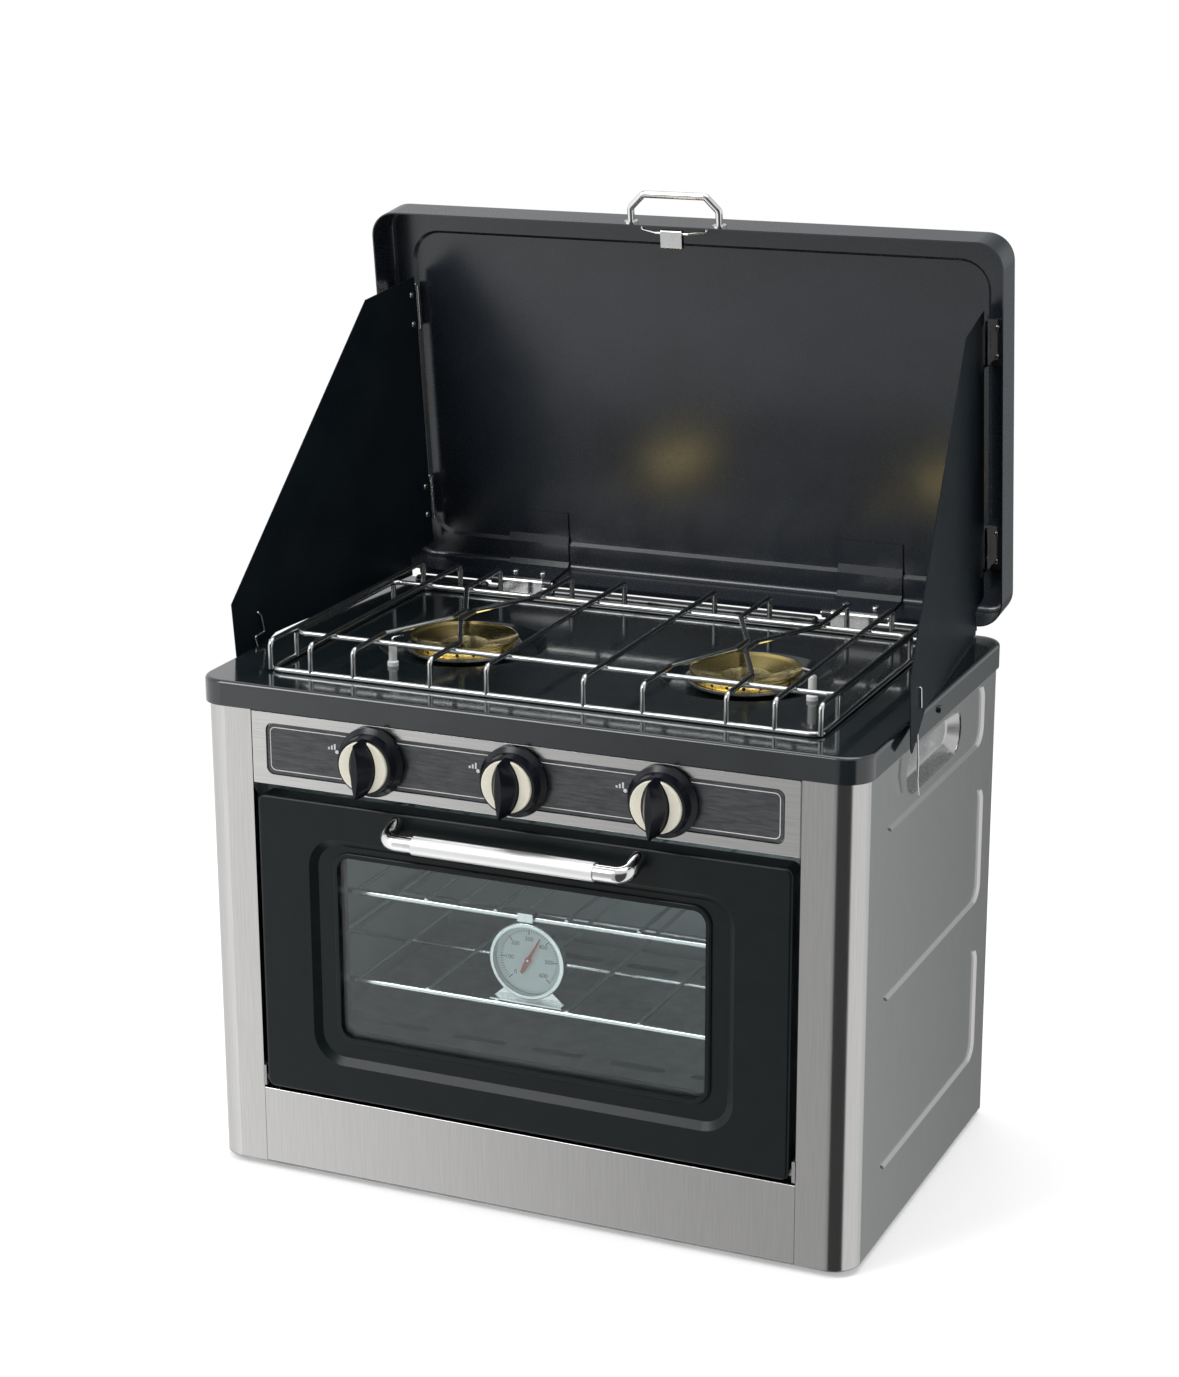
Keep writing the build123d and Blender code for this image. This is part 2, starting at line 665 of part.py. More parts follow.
def flame_plate():
    """Folded sheet over the burner with a row of slots on each side."""
    z = cavity_z[0] + FLAME_UP
    front, rear = grown(cavity_y, -18)
    section = [(front, cavity_z[0]), (front, z), (rear, z), (rear, cavity_z[0])]
    plate = strip(section, SHEET, grown(both(cavity_half), -15))
    for k in range(5):
        for y in (front + 30, rear - 30):
            slot = Plane.XY.offset(z - 4) * Pos(-128 + 64 * k, y) * SlotOverall(44, 10)
            plate -= extrude(slot, 8)
    return plate


def thermometer_case():
    """Round case with a stand on the lower rack and a hook over the upper one."""
    t = 1.0
    z = dial_z
    case = rod((DIAL_X, dial_y[0], z), (DIAL_X, dial_y[1], z), DIAL_R - 0.5)
    case = fillet(case.edges(), 1.2)
    case -= rod((DIAL_X, dial_y[0] - 1, z), (DIAL_X, dial_y[1] - t, z), DIAL_R - 3.5)
    foot = rack_z[0] + RACK_WIRE + 1.1
    stand = [(DIAL_X - 17, z - 20), (DIAL_X + 17, z - 20), (DIAL_X + 17, foot + 9), (DIAL_X + 27, foot),
             (DIAL_X - 30, foot), (DIAL_X - 20, foot + 9)]
    stand = extrude(Plane.XZ.offset(-dial_y[1] - t) * make_face(Polyline(*stand, close=True)), t)
    rest = block((DIAL_X - 30, DIAL_X + 27), (dial_y[0] + 1, dial_y[1] + t), (foot, foot + t))
    over = rack_z[1] + RACK_WIRE + 1.7
    out = rack_y[0] - RACK_WIRE - 1.6
    bends = [(dial_y[1] + 0.5, z + 12), (dial_y[1] + 0.5, over), (out - 0.4, over), (out - 0.4, over - 6)]
    hook = strip(bends, t, (DIAL_X - 6, DIAL_X + 6))
    pin = rod((DIAL_X, dial_y[0] + 2.4, z), (DIAL_X, dial_y[1] - t, z), 0.8)
    return case + stand + rest + hook + pin


def thermometer_dial():
    back = dial_y[1] - 1.0
    dial = rod((DIAL_X, back - 0.6, dial_z), (DIAL_X, back, dial_z), DIAL_R - 3.8)
    return dial - rod((DIAL_X, back - 2, dial_z), (DIAL_X, back + 1, dial_z), 0.8 + RUN)


def thermometer_pointer():
    """Balanced needle with its tail, free on the pin."""
    y = dial_y[0] + 3.4
    needle = [(-1.1, -12), (1.1, -12), (2.0, -4), (1.2, 3), (0.35, 20), (-0.35, 20), (-1.2, 3), (-2.0, -4)]
    needle = extrude(Plane.XZ * make_face(Polyline(*needle, close=True)), -0.8)
    needle = Pos(DIAL_X, y, dial_z) * Rot(0, NEEDLE_TURN, 0) * needle
    hub = rod((DIAL_X, y - 0.6, dial_z), (DIAL_X, y + 1.2, dial_z), 2.4)
    return needle + hub - rod((DIAL_X, y - 3, dial_z), (DIAL_X, y + 3, dial_z), 0.8 + RUN)


def thermometer_glass():
    return rod((DIAL_X, dial_y[0] + 0.6, dial_z), (DIAL_X, dial_y[0] + 1.6, dial_z), DIAL_R - 3.6)


step_back = DOOR_Y[0] + STEP_DEPTH
glass_back = step_back + SHEET + GLASS_T


def door_outer_panel():
    """Pressed front with a stepped-in field, a window and a bead round it."""
    x = both(door_half)
    panel = front_plate(x, door_z, DOOR_Y, DOOR_R)
    panel = fillet(panel.faces().sort_by(Axis.Y)[0].edges(), 2.4)
    inside = (DOOR_Y[0] + SHEET, DOOR_Y[1] + 1)
    panel -= front_plate(grown(x, -SHEET), grown(door_z, -SHEET), inside, DOOR_R - SHEET)
    step = (DOOR_Y[0] + SHEET, step_back + SHEET)
    panel += front_plate(grown(both(step_half), 0.5), grown(step_z, 0.5), step, STEP_R, STEP_DRAFT)
    panel -= front_plate(both(step_half), step_z, (DOOR_Y[0], step_back), STEP_R, STEP_DRAFT)
    bead = (step_back - BEAD_H, step_back + 0.2)
    rim = front_plate(grown(both(window_half), BEAD_W), grown(window_z, BEAD_W), bead, WINDOW_R + BEAD_W)
    rim = fillet(rim.faces().sort_by(Axis.Y)[0].edges(), 1.4)
    panel += rim
    panel -= front_plate(both(window_half), window_z, (DOOR_Y[0] - 1, step_back + 3), WINDOW_R)
    return panel - rod((-door_half - 1, *door_axis), (door_half + 1, *door_axis), DOOR_PIN_R + 1.2)


def door_inner_panel():
    """Back pan with a frame that holds the glass and a flange inside the front's walls."""
    x = both(inner_half)
    pan = front_plate(x, inner_z, (DOOR_Y[1] - 1, inner_back), 8)
    pan = fillet(pan.faces().sort_by(Axis.Y)[-1].edges(), 2)
    pan -= front_plate(grown(x, -SHEET), grown(inner_z, -SHEET), (DOOR_Y[1] - 2, inner_back - SHEET), 7)
    edge = SHEET + SEAT
    rear = (DOOR_Y[1] - 1, DOOR_Y[1])
    flange = front_plate(grown(both(door_half), -edge), grown(door_z, -edge), rear, DOOR_R - 1)
    flange -= front_plate(grown(x, -SHEET), grown(inner_z, -SHEET), (DOOR_Y[1] - 2, DOOR_Y[1] + 1), 7)
    frame_x = grown(both(window_half), 3)
    frame_z = grown(window_z, 3)
    frame = front_plate(frame_x, frame_z, (glass_back, inner_back), WINDOW_R)
    hole = front_plate(grown(frame_x, -SHEET), grown(frame_z, -SHEET), (0, inner_back + 1), WINDOW_R - 1)
    return pan + flange + frame - hole


def door_glass():
    x = grown(both(window_half), GLASS_LAP)
    return front_plate(x, grown(window_z, GLASS_LAP), (step_back + SHEET, glass_back), 6)


def door_gasket():
    """Round seal on the door's back."""
    x = both(inner_half)
    ring = front_plate(grown(x, -4), grown(inner_z, -4), (inner_back, cavity_y[0] - LINER_T), 8)
    return ring - front_plate(grown(x, -8), grown(inner_z, -8), (inner_back - 1, cavity_y[0] + 1), 5)


def door_hinge_arms():
    """Plates inside the door's bottom corners that turn on the pins."""
    y, z = door_axis
    wall = door_half - SHEET
    height = (door_z[0] + SHEET + SEAT, door_z[0] + 47)
    arm = block((wall - 8.5, wall - 4.6), (DOOR_Y[0] + SHEET + 0.1, DOOR_Y[1] - SHEET - 0.1), height)
    return pair(arm - rod((wall - 20, y, z), (wall + 5, y, z), DOOR_PIN_R + RUN))


def door_hinge_brackets():
    """Tabs on the columns with a pin into the door."""
    y, z = door_axis
    tab = block((column_in - 2.5, column_in), (-1, 14), (z - 6, z + 10))
    return pair(tab + rod((door_half - 12, y, z), (column_in - 1, y, z), DOOR_PIN_R))


def door_handle_grip():
    return rod((-HANDLE_HALF, handle_y, handle_z), (HANDLE_HALF, handle_y, handle_z), HANDLE_R)


def door_handle_brackets():
    """Tight elbows that carry the grip in front of the door."""
    x = HANDLE_HALF + BRACKET_OUT
    elbow = (x, handle_y, handle_z)
    arm = wire([(HANDLE_HALF, handle_y, handle_z), elbow, (x + 0.5, SHEET, bracket_z)], HANDLE_R - 1, 9)
    return pair(arm - block(grown((x, x), 20), DOOR_Y, grown((bracket_z, bracket_z), 20)))


lean = Pos(0, *lid_axis) * Rot(LID_LEAN, 0, 0)
lid_floor = LID_BACK - SHEET


def lid_shell():
    """Pressed lid, open towards the front, with a raised field and a hem under its lower wall."""
    x = both(lid_half)
    outer = front_plate(x, lid_z, (LID_RIM, LID_BACK), LID_R)
    outer = fillet(outer.faces().sort_by(Axis.Y)[-1].edges(), 5)
    field_x = both(lid_half - LID_FIELD_IN[0])
    field_z = inset(lid_z, *LID_FIELD_IN[1:])
    field = front_plate(field_x, field_z, (LID_BACK, LID_BACK + LID_FIELD_DEPTH), LID_FIELD_R, 45)
    inner = front_plate(grown(x, -SHEET), grown(lid_z, -SHEET), (LID_RIM - 1, lid_floor), LID_R - SHEET)
    inner = fillet(inner.faces().sort_by(Axis.Y)[-1].edges(), 4)
    press = (lid_floor, lid_floor + LID_FIELD_DEPTH)
    pressed = front_plate(grown(field_x, -0.4), grown(field_z, -0.4), press, LID_FIELD_R, 45)
    hem = block(both(lid_half - LID_R), (LID_RIM, LID_RIM + HEM[0]), (lid_z[0] - HEM[1], lid_z[0] + SHEET))
    hem = fillet(hem.edges().filter_by(Axis.X).group_by(Axis.Z)[0], HEM[0] / 2 - 0.05)
    return outer + field + hem - inner - pressed


def lid_hinge_straps():
    """Strap leaves inside the lid, rolled round the pins under its rim."""
    t = STRAP_T
    field = lid_floor + LID_FIELD_DEPTH - t / 2
    border = lid_floor - t / 2 - 0.02
    ledge = lid_z[0] + SHEET + t / 2 + 0.02
    down = BARREL_R - t / 2
    half = STRAP_W / 2
    low = LID_FIELD_IN[1]
    section = [(field, STRAP_TOP), (field, low + 7.5), (border, low + 1), (border, ledge + 4),
               (border - 4, ledge), (down, ledge), (down, 0)]
    strap = strip(section, t, (STRAP_X - half, STRAP_X + half))
    gap = 0.3
    knuckle = grown((STRAP_X, STRAP_X), KNUCKLE_W / 2 + gap)
    strap -= block(knuckle, both(BARREL_R + 0.5), (-BARREL_R, BARREL_R + 3))
    for side in (-1, 1):
        ends = sorted((STRAP_X + side * (KNUCKLE_W / 2 + gap), STRAP_X + side * half))
        barrel = rod((ends[0], 0, 0), (ends[1], 0, 0), BARREL_R)
        strap = strap + barrel - rod((ends[0] - 1, 0, 0), (ends[1] + 1, 0, 0), LID_PIN_R + RUN)
    return pair(strap)


def tray_hinge_leaves():
    """Leaves on the tray with the middle knuckles, in the cabinet's own frame."""
    t = STRAP_T
    x = grown((STRAP_X, STRAP_X), KNUCKLE_W / 2)
    front = -(BARREL_R - t / 2)
    foot = tray_z[1] - lid_axis[1] + t / 2
    leaf = strip([(front, 0), (front, foot), (-LEAF_L, foot)], t, x)
    leaf += rod((x[0], 0, 0), (x[1], 0, 0), BARREL_R)
    leaf -= rod((x[0] - 1, 0, 0), (x[1] + 1, 0, 0), LID_PIN_R)
    return Pos(0, *lid_axis) * pair(leaf)


def lid_hinge_pins():
    half = STRAP_W / 2 + 1
    pin = rod((STRAP_X - half, 0, 0), (STRAP_X + half, 0, 0), LID_PIN_R)
    return Pos(0, *lid_axis) * pair(pin)


def lid_handle():
    """Bent rod with chamfered corners on the lid's upper wall."""
    inner, outer = BAIL_X
    wall = lid_z[1]
    top = wall + BAIL_H
    knee = top - (outer - inner)
    half = [(inner, BAIL_Y, top), (outer, BAIL_Y, knee), (outer, BAIL_Y, wall)]
    bail = wire([(-x, y, z) for x, y, z in reversed(half)] + half, BAIL_R, 4)
    feet = [rod((x, BAIL_Y, wall), (x, BAIL_Y, wall + 1.6), BAIL_R + 2.5) for x in both(outer)]
    return bail + feet


def latch_rod():
    """Thin wire under the lid's upper wall that the latch hangs on."""
    wall = lid_z[1] - SHEET
    y, z = LATCH_ROD[0], lid_z[1] - LATCH_ROD[1]
    points = [(-26, 8, wall), (-26, 8, wall - 3), (-13, y, z), (13, y, z), (26, 8, wall - 3), (26, 8, wall)]
    return wire(points, LATCH_ROD_R, 1.5)


def lid_latch():
    """Folded hook that hangs on the wire."""
    y, z = LATCH_ROD[0], lid_z[1] - LATCH_ROD[1]
    half = LATCH_HALF
    body = block(both(half), (y - 2.5, y + 2.5), (z - 11, z + 2.6))
    body = fillet(body.edges().filter_by(Axis.X), 1.0)
    body -= block(both(half - 2), (y - 0.6, y + 3), (z - 9, z - 2.8))
    return body - rod((-half - 1, y, z), (half + 1, y, z), LATCH_ROD_R + RUN)


turn = math.radians(SHIELD_TURN)
tilt = math.radians(LID_LEAN)
shield_plane = Plane(origin=(shield_x, shield_y, 0), x_dir=(math.sin(turn), -math.cos(turn), 0),
                     z_dir=(-math.cos(turn), -math.sin(turn), 0))


def on_shield(reach, height):
    """Point of the shield's plane for a height above the tray."""
    depth = shield_y - reach * math.cos(turn)
    return (reach, (height - LID_UP - depth * math.sin(tilt)) / math.cos(tilt))


def right_wind_shield():
    points = [on_shield(*point) for point in SHIELD_OUTLINE]
    face = make_face(Polyline(*points, close=True))
    sheet = extrude(shield_plane * face, SHIELD_T / 2, both=True)
    u, v = on_shield(*CLIP_PIVOT)
    hole = shield_plane * Pos(u, v) * Cylinder(CLIP_R + RUN, 6)
    return sheet - hole


def right_shield_leaves():
    """Moving leaves on the shield's outer face."""
    out = SHIELD_T / 2 + BUTT_T / 2 + 0.02
    third = BUTT_H / 6
    near = (grown((shield_x, shield_x), 12), (shield_y - 2.9, shield_y + 8))
    leaves = []
    for z in BUTT_Z:
        leaf = shield_plane * Pos(9, z, -out) * Box(12, BUTT_H, BUTT_T)
        leaf -= block(*near, (z - BUTT_H, z - third - 0.2))
        leaf -= block(*near, (z + third + 0.2, z + BUTT_H))
        leaf += shield_plane * Pos(2.6, z, -out) * Box(3, 2 * third - 0.4, BUTT_T)
        leaf += rod((shield_x, shield_y, z - third), (shield_x, shield_y, z + third), BUTT_R)
        leaf -= rod((shield_x, shield_y, 0), (shield_x, shield_y, lid_z[1]), BUTT_PIN_R + RUN)
        leaves.append(leaf)
    return Compound(children=[solid for leaf in leaves for solid in leaf.solids()])


def shield_hinge_frames():
    """Fixed leaves on the lid's border with their knuckles and pins."""
    frames = []
    third = BUTT_H / 6
    rear = lid_floor - 0.02
    down = shield_x + BUTT_R - BUTT_T
    for z in BUTT_Z:
        low, high = grown((z, z), BUTT_H / 2)
        leaf = block((down, down + 11.5), (rear - BUTT_T, rear), (low, high))
        leaf += block((down, down + BUTT_T), (shield_y, rear), (low, high))
        for start, end in ((low, z - third), (z + third, high)):
            leaf += rod((shield_x, shield_y, start), (shield_x, shield_y, end), BUTT_R)
        inner = grown((z, z), third + 0.2)
        leaf -= rod((shield_x, shield_y, inner[0]), (shield_x, shield_y, inner[1]), BUTT_R + 0.4)
        leaf += rod((shield_x, shield_y, low), (shield_x, shield_y, high), BUTT_PIN_R)
        frames.append(leaf)
    return pair(Compound(children=frames))


def right_wire_clip():
    """Bent wire hung through the shield's hole, with a short end outside and a long one inside."""
    off = SHIELD_T / 2 + CLIP_R + SEAT
    reach, height = CLIP_PIVOT
    local = [(*on_shield(reach, height - CLIP_TAG), -off), (*on_shield(reach, height), -off)]
    local += [(*on_shield(*point), off) for point in (CLIP_PIVOT,) + CLIP_PATH]
    path = [shield_plane.from_local_coords(Vector(*point)) for point in local]
    return wire([tuple(point) for point in path], CLIP_R, 0.9)


def cross_wire(x, near=None):
    """Wire from front to back with a post at both ends, bent towards a burner's middle if near is given."""
    bottom = tray_z[1] + WIRE_R
    front, rear = grate_y
    points = [(x, front, bottom), (x, front, grate_top)]
    if near:
        points += [(kink, y, grate_top) for kink, y in zip((x, near, near, x), moved(KINK_FROM, BURNER_Y))]
    points += [(x, rear, grate_top), (x, rear, bottom)]
    return wire(points, WIRE_R, 4.5)


def pan_support():
    """Welded wire grate on the tray."""
    bottom = tray_z[1] + WIRE_R
    front, rear = grate_y
    x = grate_half
    half = [(0, front, bottom), (x, front, bottom), (x, rear, bottom), (0, rear, bottom)]
    ring_z = grate_top - 2 * WIRE_R + 0.8
    side = x - 1
    near, far = moved(RING_FROM, BURNER_Y)
    ring = [(0, near, ring_z), (side, near, ring_z), (side, far, ring_z), (0, far, ring_z)]
    parts = [wire(ring, WIRE_R, 8)]
    parts += [rod((side, y, ring_z), (side, y, bottom), WIRE_R) for y in (near, far)]
    parts += [cross_wire(CROSS_X[0])]
    parts += [cross_wire(BURNER_X + sign * KINK_SPREAD, BURNER_X + sign * KINK_GAP) for sign in (-1, 1)]
    parts += [cross_wire(CROSS_X[1]), cross_wire(x)]
    right = wire(half, WIRE_R, 8)
    for part in parts:
        right += part
    return right + mirrored(right)


def igniters():
    """White ceramic electrodes that stand on the tray beside the wells."""
    base = tray_z[1]
    top = base + IGNITER_H
    pin = turned([(0, base), (4.2, base), (4.2, base + 3), (3, base + 4), (3, top - 1), (2.4, top),
                  (0, top)])
    right = Pos(BURNER_X + IGNITER_RIGHT[0], BURNER_Y + IGNITER_RIGHT[1], 0) * pin
    left = Pos(-BURNER_X + IGNITER_LEFT[0], BURNER_Y + IGNITER_LEFT[1], 0) * pin
    return Compound(children=[right, left])


panel = right_side_panel()
cup = right_handle_cup()
shield = lean * right_wind_shield()
leaves = lean * right_shield_leaves()
clip = lean * right_wire_clip()

nodes = {
    "left_side_panel": mirrored(panel),
    "right_side_panel": panel,
    "left_handle_cup": mirrored(cup),
    "right_handle_cup": cup,
    "back_panel": back_panel(),
    "base_plate": base_plate(),
    "rubber_feet": rubber_feet(),
    "kick_plate": kick_plate(),
    "control_fascia": control_fascia(),
    "fascia_inlay": fascia_inlay(),
    "hob_tray": hob_tray(),
    "burner_bowls": burner_bowls(),
    "burner_caps": burner_caps(),
    "burner_tubes": burner_tubes(),
    "igniters": igniters(),
    "gas_valves": gas_valves(),
    "gas_manifold": gas_manifold(),
    "gas_inlet": gas_inlet(),
    "oven_liner": oven_liner(),
    "rack_runners": rack_runners(),
    "lower_rack": oven_rack(rack_z[0]),
    "upper_rack": oven_rack(rack_z[1]),
    "oven_burner": oven_burner(),
    "flame_plate": flame_plate(),
    "thermometer_case": thermometer_case(),
    "thermometer_dial": thermometer_dial(),
    "thermometer_pointer": thermometer_pointer(),
    "thermometer_glass": thermometer_glass(),
    "door_outer_panel": door_outer_panel(),
    "door_inner_panel": door_inner_panel(),
    "door_glass": door_glass(),
    "door_gasket": door_gasket(),
    "door_hinge_arms": door_hinge_arms(),
    "door_hinge_brackets": door_hinge_brackets(),
    "door_handle_grip": door_handle_grip(),
    "door_handle_brackets": door_handle_brackets(),
    "lid_shell": lean * lid_shell(),
    "lid_hinge_straps": lean * lid_hinge_straps(),
    "tray_hinge_leaves": tray_hinge_leaves(),
    "lid_hinge_pins": lid_hinge_pins(),
    "lid_handle": lean * lid_handle(),
    "latch_rod": lean * latch_rod(),
    "lid_latch": lean * lid_latch(),
    "shield_hinge_frames": lean * shield_hinge_frames(),
    "left_wind_shield": mirrored(shield),
    "right_wind_shield": shield,
    "left_shield_leaves": mirrored(leaves),
    "right_shield_leaves": leaves,
    "left_wire_clip": mirrored(clip),
    "right_wire_clip": clip,
    "pan_support": pan_support(),
}
for side, x in zip(("left", "centre", "right"), knob_x):
    place = Pos(x, 0, knob_z)
    nodes[side + "_knob_grip"] = place * knob_grip()
    nodes[side + "_knob_face"] = place * knob_face()
    nodes[side + "_spindle"] = place * spindle()

boxes = [part.bounding_box() for part in nodes.values()]
front = min(box.min.Y for box in boxes)
rear = max(box.max.Y for box in boxes)
bottom = min(box.min.Z for box in boxes)
to_base = Pos(0, -(front + rear) / 2, -bottom)
os.makedirs("parts", exist_ok=True)
for name, part in nodes.items():
    export_step(Compound((to_base * part).solids()), "parts/" + name + ".step")
print("shift", -(front + rear) / 2, -bottom)
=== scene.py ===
import math

import bmesh
import bpy
from mathutils import Matrix, Vector


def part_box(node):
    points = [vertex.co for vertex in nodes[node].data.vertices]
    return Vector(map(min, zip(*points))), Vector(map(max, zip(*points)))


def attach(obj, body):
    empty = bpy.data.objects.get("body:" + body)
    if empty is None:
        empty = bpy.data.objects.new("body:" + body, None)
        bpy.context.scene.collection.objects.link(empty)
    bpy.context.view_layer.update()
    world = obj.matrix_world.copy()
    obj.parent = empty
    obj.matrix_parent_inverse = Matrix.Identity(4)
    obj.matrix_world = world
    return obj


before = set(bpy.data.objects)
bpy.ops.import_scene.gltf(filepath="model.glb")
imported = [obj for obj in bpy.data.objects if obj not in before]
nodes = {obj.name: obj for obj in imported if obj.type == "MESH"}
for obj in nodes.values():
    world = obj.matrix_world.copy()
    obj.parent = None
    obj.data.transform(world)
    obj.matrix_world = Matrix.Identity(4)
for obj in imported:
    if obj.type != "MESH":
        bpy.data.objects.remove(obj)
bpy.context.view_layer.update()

MM = 0.001
ORIGIN_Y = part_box("base_plate")[0][1]
ORIGIN_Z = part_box("base_plate")[0][2]
SIDES = ((1, "right"), (-1, "left"))
FORWARDS = (0, -1, 0)
BACKWARDS = (0, 1, 0)
UPWARDS = (0, 0, 1)
DOWNWARDS = (0, 0, -1)

# Places in mm, counted from the cabinet's front face, its middle and its underside
FASCIA_Y = 0.8
KNOB_X = (-112.5, 0.0, 112.5)
KNOB_Z = 333.0
DIAL = (-3.0, 28.4, 188.0)
CABINET_BACK = 315.0
BURNER_Y = 155.0
LID_AXIS = (319.0, 386.0)
LID_LEAN = math.radians(6.5)
SHIELD = (232.0, 31.5)
SHIELD_TURN = math.radians(6.5)
BUTT_Z = (52.5, 213.0)

# The photograph's camera, in the same places
CAMERA_AT = (873.1, -1881.7, 1020.6)
CAMERA_YAW = -0.4597
CAMERA_PITCH = -0.3067
CAMERA_ROLL = -0.0191
IMAGE_W = 1179.0
IMAGE_H = 1377.0
FOCAL_PX = 3112.7
AXIS_PX = (440.0, 740.0)
SENSOR = 36.0


def at(x, y, z):
    """Point of the row frame, in metres, for a place counted in mm."""
    return Vector((x * MM, ORIGIN_Y + y * MM, ORIGIN_Z + z * MM))


LID = Matrix.Translation(at(0, *LID_AXIS)) @ Matrix.Rotation(LID_LEAN, 4, "X")


def shield_plane(side):
    """Matrix of a shield's plane: X along it, Y up, Z towards the hob. side is 1 or -1."""
    along = Vector((side * math.sin(SHIELD_TURN), -math.cos(SHIELD_TURN), 0))
    inward = Vector((-side * math.cos(SHIELD_TURN), -math.sin(SHIELD_TURN), 0))
    up = Vector(UPWARDS)
    turn = Matrix((along, up, inward)).transposed().to_4x4()
    return LID @ Matrix.Translation(Vector((side * SHIELD[0], SHIELD[1], 0)) * MM) @ turn


def on_shield(reach, height, out):
    """Point of a shield's plane for a height above the lid's axis. out is its distance inwards."""
    depth = SHIELD[1] - reach * math.cos(SHIELD_TURN)
    return Vector((reach, (height - depth * math.sin(LID_LEAN)) / math.cos(LID_LEAN), out)) * MM


# Shader nodes


def node(tree, kind, **inputs):
    """New node with its settings and the values of its inputs."""
    made = tree.nodes.new(kind)
    for key, value in inputs.items():
        if hasattr(made, key):
            setattr(made, key, value)
        else:
            made.inputs[key.replace("_", " ")].default_value = value
    return made


def ranged(tree, source, low, high, **settings):
    """A value's range from low to high, carried to 0..1 or to the range in the settings."""
    made = node(tree, "ShaderNodeMapRange", From_Min=low, From_Max=high, **settings)
    tree.links.new(source, made.inputs["Value"])
    return made.outputs["Result"]


def scaled(tree, source, factor):
    """A value times a fixed number."""
    made = node(tree, "ShaderNodeMath", operation="MULTIPLY")
    made.inputs[1].default_value = factor
    tree.links.new(source, made.inputs[0])
    return made.outputs["Value"]


def joined(tree, operation, first, second):
    """One value out of two."""
    made = node(tree, "ShaderNodeMath", operation=operation)
    tree.links.new(first, made.inputs[0])
    tree.links.new(second, made.inputs[1])
    return made.outputs["Value"]


def mixed(tree, factor, first, second):
    """Colour between two. Each is a fixed colour or what another node gives."""
    made = node(tree, "ShaderNodeMix", data_type="RGBA")
    tree.links.new(factor, made.inputs["Factor"])
    for key, colour in (("A", first), ("B", second)):
        if isinstance(colour, tuple):
            made.inputs[key].default_value = (*colour, 1)
        else:
            tree.links.new(colour, made.inputs[key])
    return made.outputs["Result"]


# Materials: each has a dark and a light colour, a share of bare metal and a range of roughness
METAL = 1.0
COATED = 0.0
EVEN = (1, 1, 1)
UPRIGHT = (1, 1, 0.03)
LENGTHWISE = (0.03, 1, 1)
NOISE_MIDDLE = (0.3, 0.7)
NOISE_ROUGHNESS = 0.55
COLOUR_DETAIL = 3.0
RELIEF_DETAIL = 2.0
RELIEF_DEPTH = 0.0002
COAT_ROUGHNESS = 0.08


def grain(tree, scale, detail, stretch):
    """Noise in object space, stretched for brushed or drawn surfaces."""
    place = node(tree, "ShaderNodeTexCoord")
    mapping = node(tree, "ShaderNodeMapping", Scale=stretch)
    noise = node(tree, "ShaderNodeTexNoise", Scale=scale, Detail=detail, Roughness=NOISE_ROUGHNESS)
    tree.links.new(place.outputs["Object"], mapping.inputs["Vector"])
    tree.links.new(mapping.outputs["Vector"], noise.inputs["Vector"])
    return noise.outputs["Fac"]


def spread(tree, source, low, high):
    """The noise's middle part carried to a range of values."""
    return ranged(tree, source, *NOISE_MIDDLE, To_Min=low, To_Max=high)


def finish(name, dark, light, metallic=COATED, rough=(0.3, 0.4), scale=40.0, stretch=EVEN, bump=0.0,
           bump_scale=400.0, coat=0.0, specular=0.5, transmission=0.0, ior=1.5):
    """Surface with its own colour variation, roughness and fine relief."""
    made = bpy.data.materials.new(name)
    made.use_nodes = True
    tree = made.node_tree
    shader = tree.nodes["Principled BSDF"]
    shader.inputs["Metallic"].default_value = metallic
    shader.inputs["Coat Weight"].default_value = coat
    shader.inputs["Coat Roughness"].default_value = COAT_ROUGHNESS
    shader.inputs["Specular IOR Level"].default_value = specular
    shader.inputs["Transmission Weight"].default_value = transmission
    shader.inputs["IOR"].default_value = ior
    wide = grain(tree, scale, COLOUR_DETAIL, stretch)
    fine = grain(tree, bump_scale, RELIEF_DETAIL, stretch)
    colour = mixed(tree, spread(tree, wide, 0.0, 1.0), dark, light)
    tree.links.new(colour, shader.inputs["Base Color"])
    tree.links.new(spread(tree, fine, *rough), shader.inputs["Roughness"])
    if bump:
        relief = node(tree, "ShaderNodeBump", Strength=bump, Distance=RELIEF_DEPTH)
        tree.links.new(fine, relief.inputs["Height"])
        tree.links.new(relief.outputs["Normal"], shader.inputs["Normal"])
    return made


def grey(value, warm=0.0):
    """Grey colour, warmer by a small share."""
    return (value * (1 + warm), value, value * (1 - warm))


def glass(name, colour):
    """Sheet glass that lets the light through to what is behind it."""
    light = tuple(min(1, part * 1.06) for part in colour)
    return finish(name, colour, light, COATED, (0.0, 0.01), 12, transmission=1.0, ior=1.45)


# Sheet metal
stainless = finish("stainless", grey(0.50, 0.01), grey(0.54, 0.01), METAL, (0.12, 0.17), 900, UPRIGHT,
                   bump=0.02, bump_scale=2400)
stainless_lengthwise = finish("stainless_lengthwise", grey(0.52, 0.01), grey(0.58, 0.01), METAL,
                              (0.14, 0.20), 900, LENGTHWISE, bump=0.03, bump_scale=2400)
dull_steel = finish("dull_steel", grey(0.36), grey(0.48), METAL, (0.38, 0.55), 60, bump=0.1)
liner_steel = finish("liner_steel", (0.58, 0.66, 0.67), (0.66, 0.74, 0.75), 0.4, (0.35, 0.50), 18,
                     bump=0.06)
cup_steel = finish("cup_steel", grey(0.46), grey(0.52), METAL, (0.20, 0.28), 50)

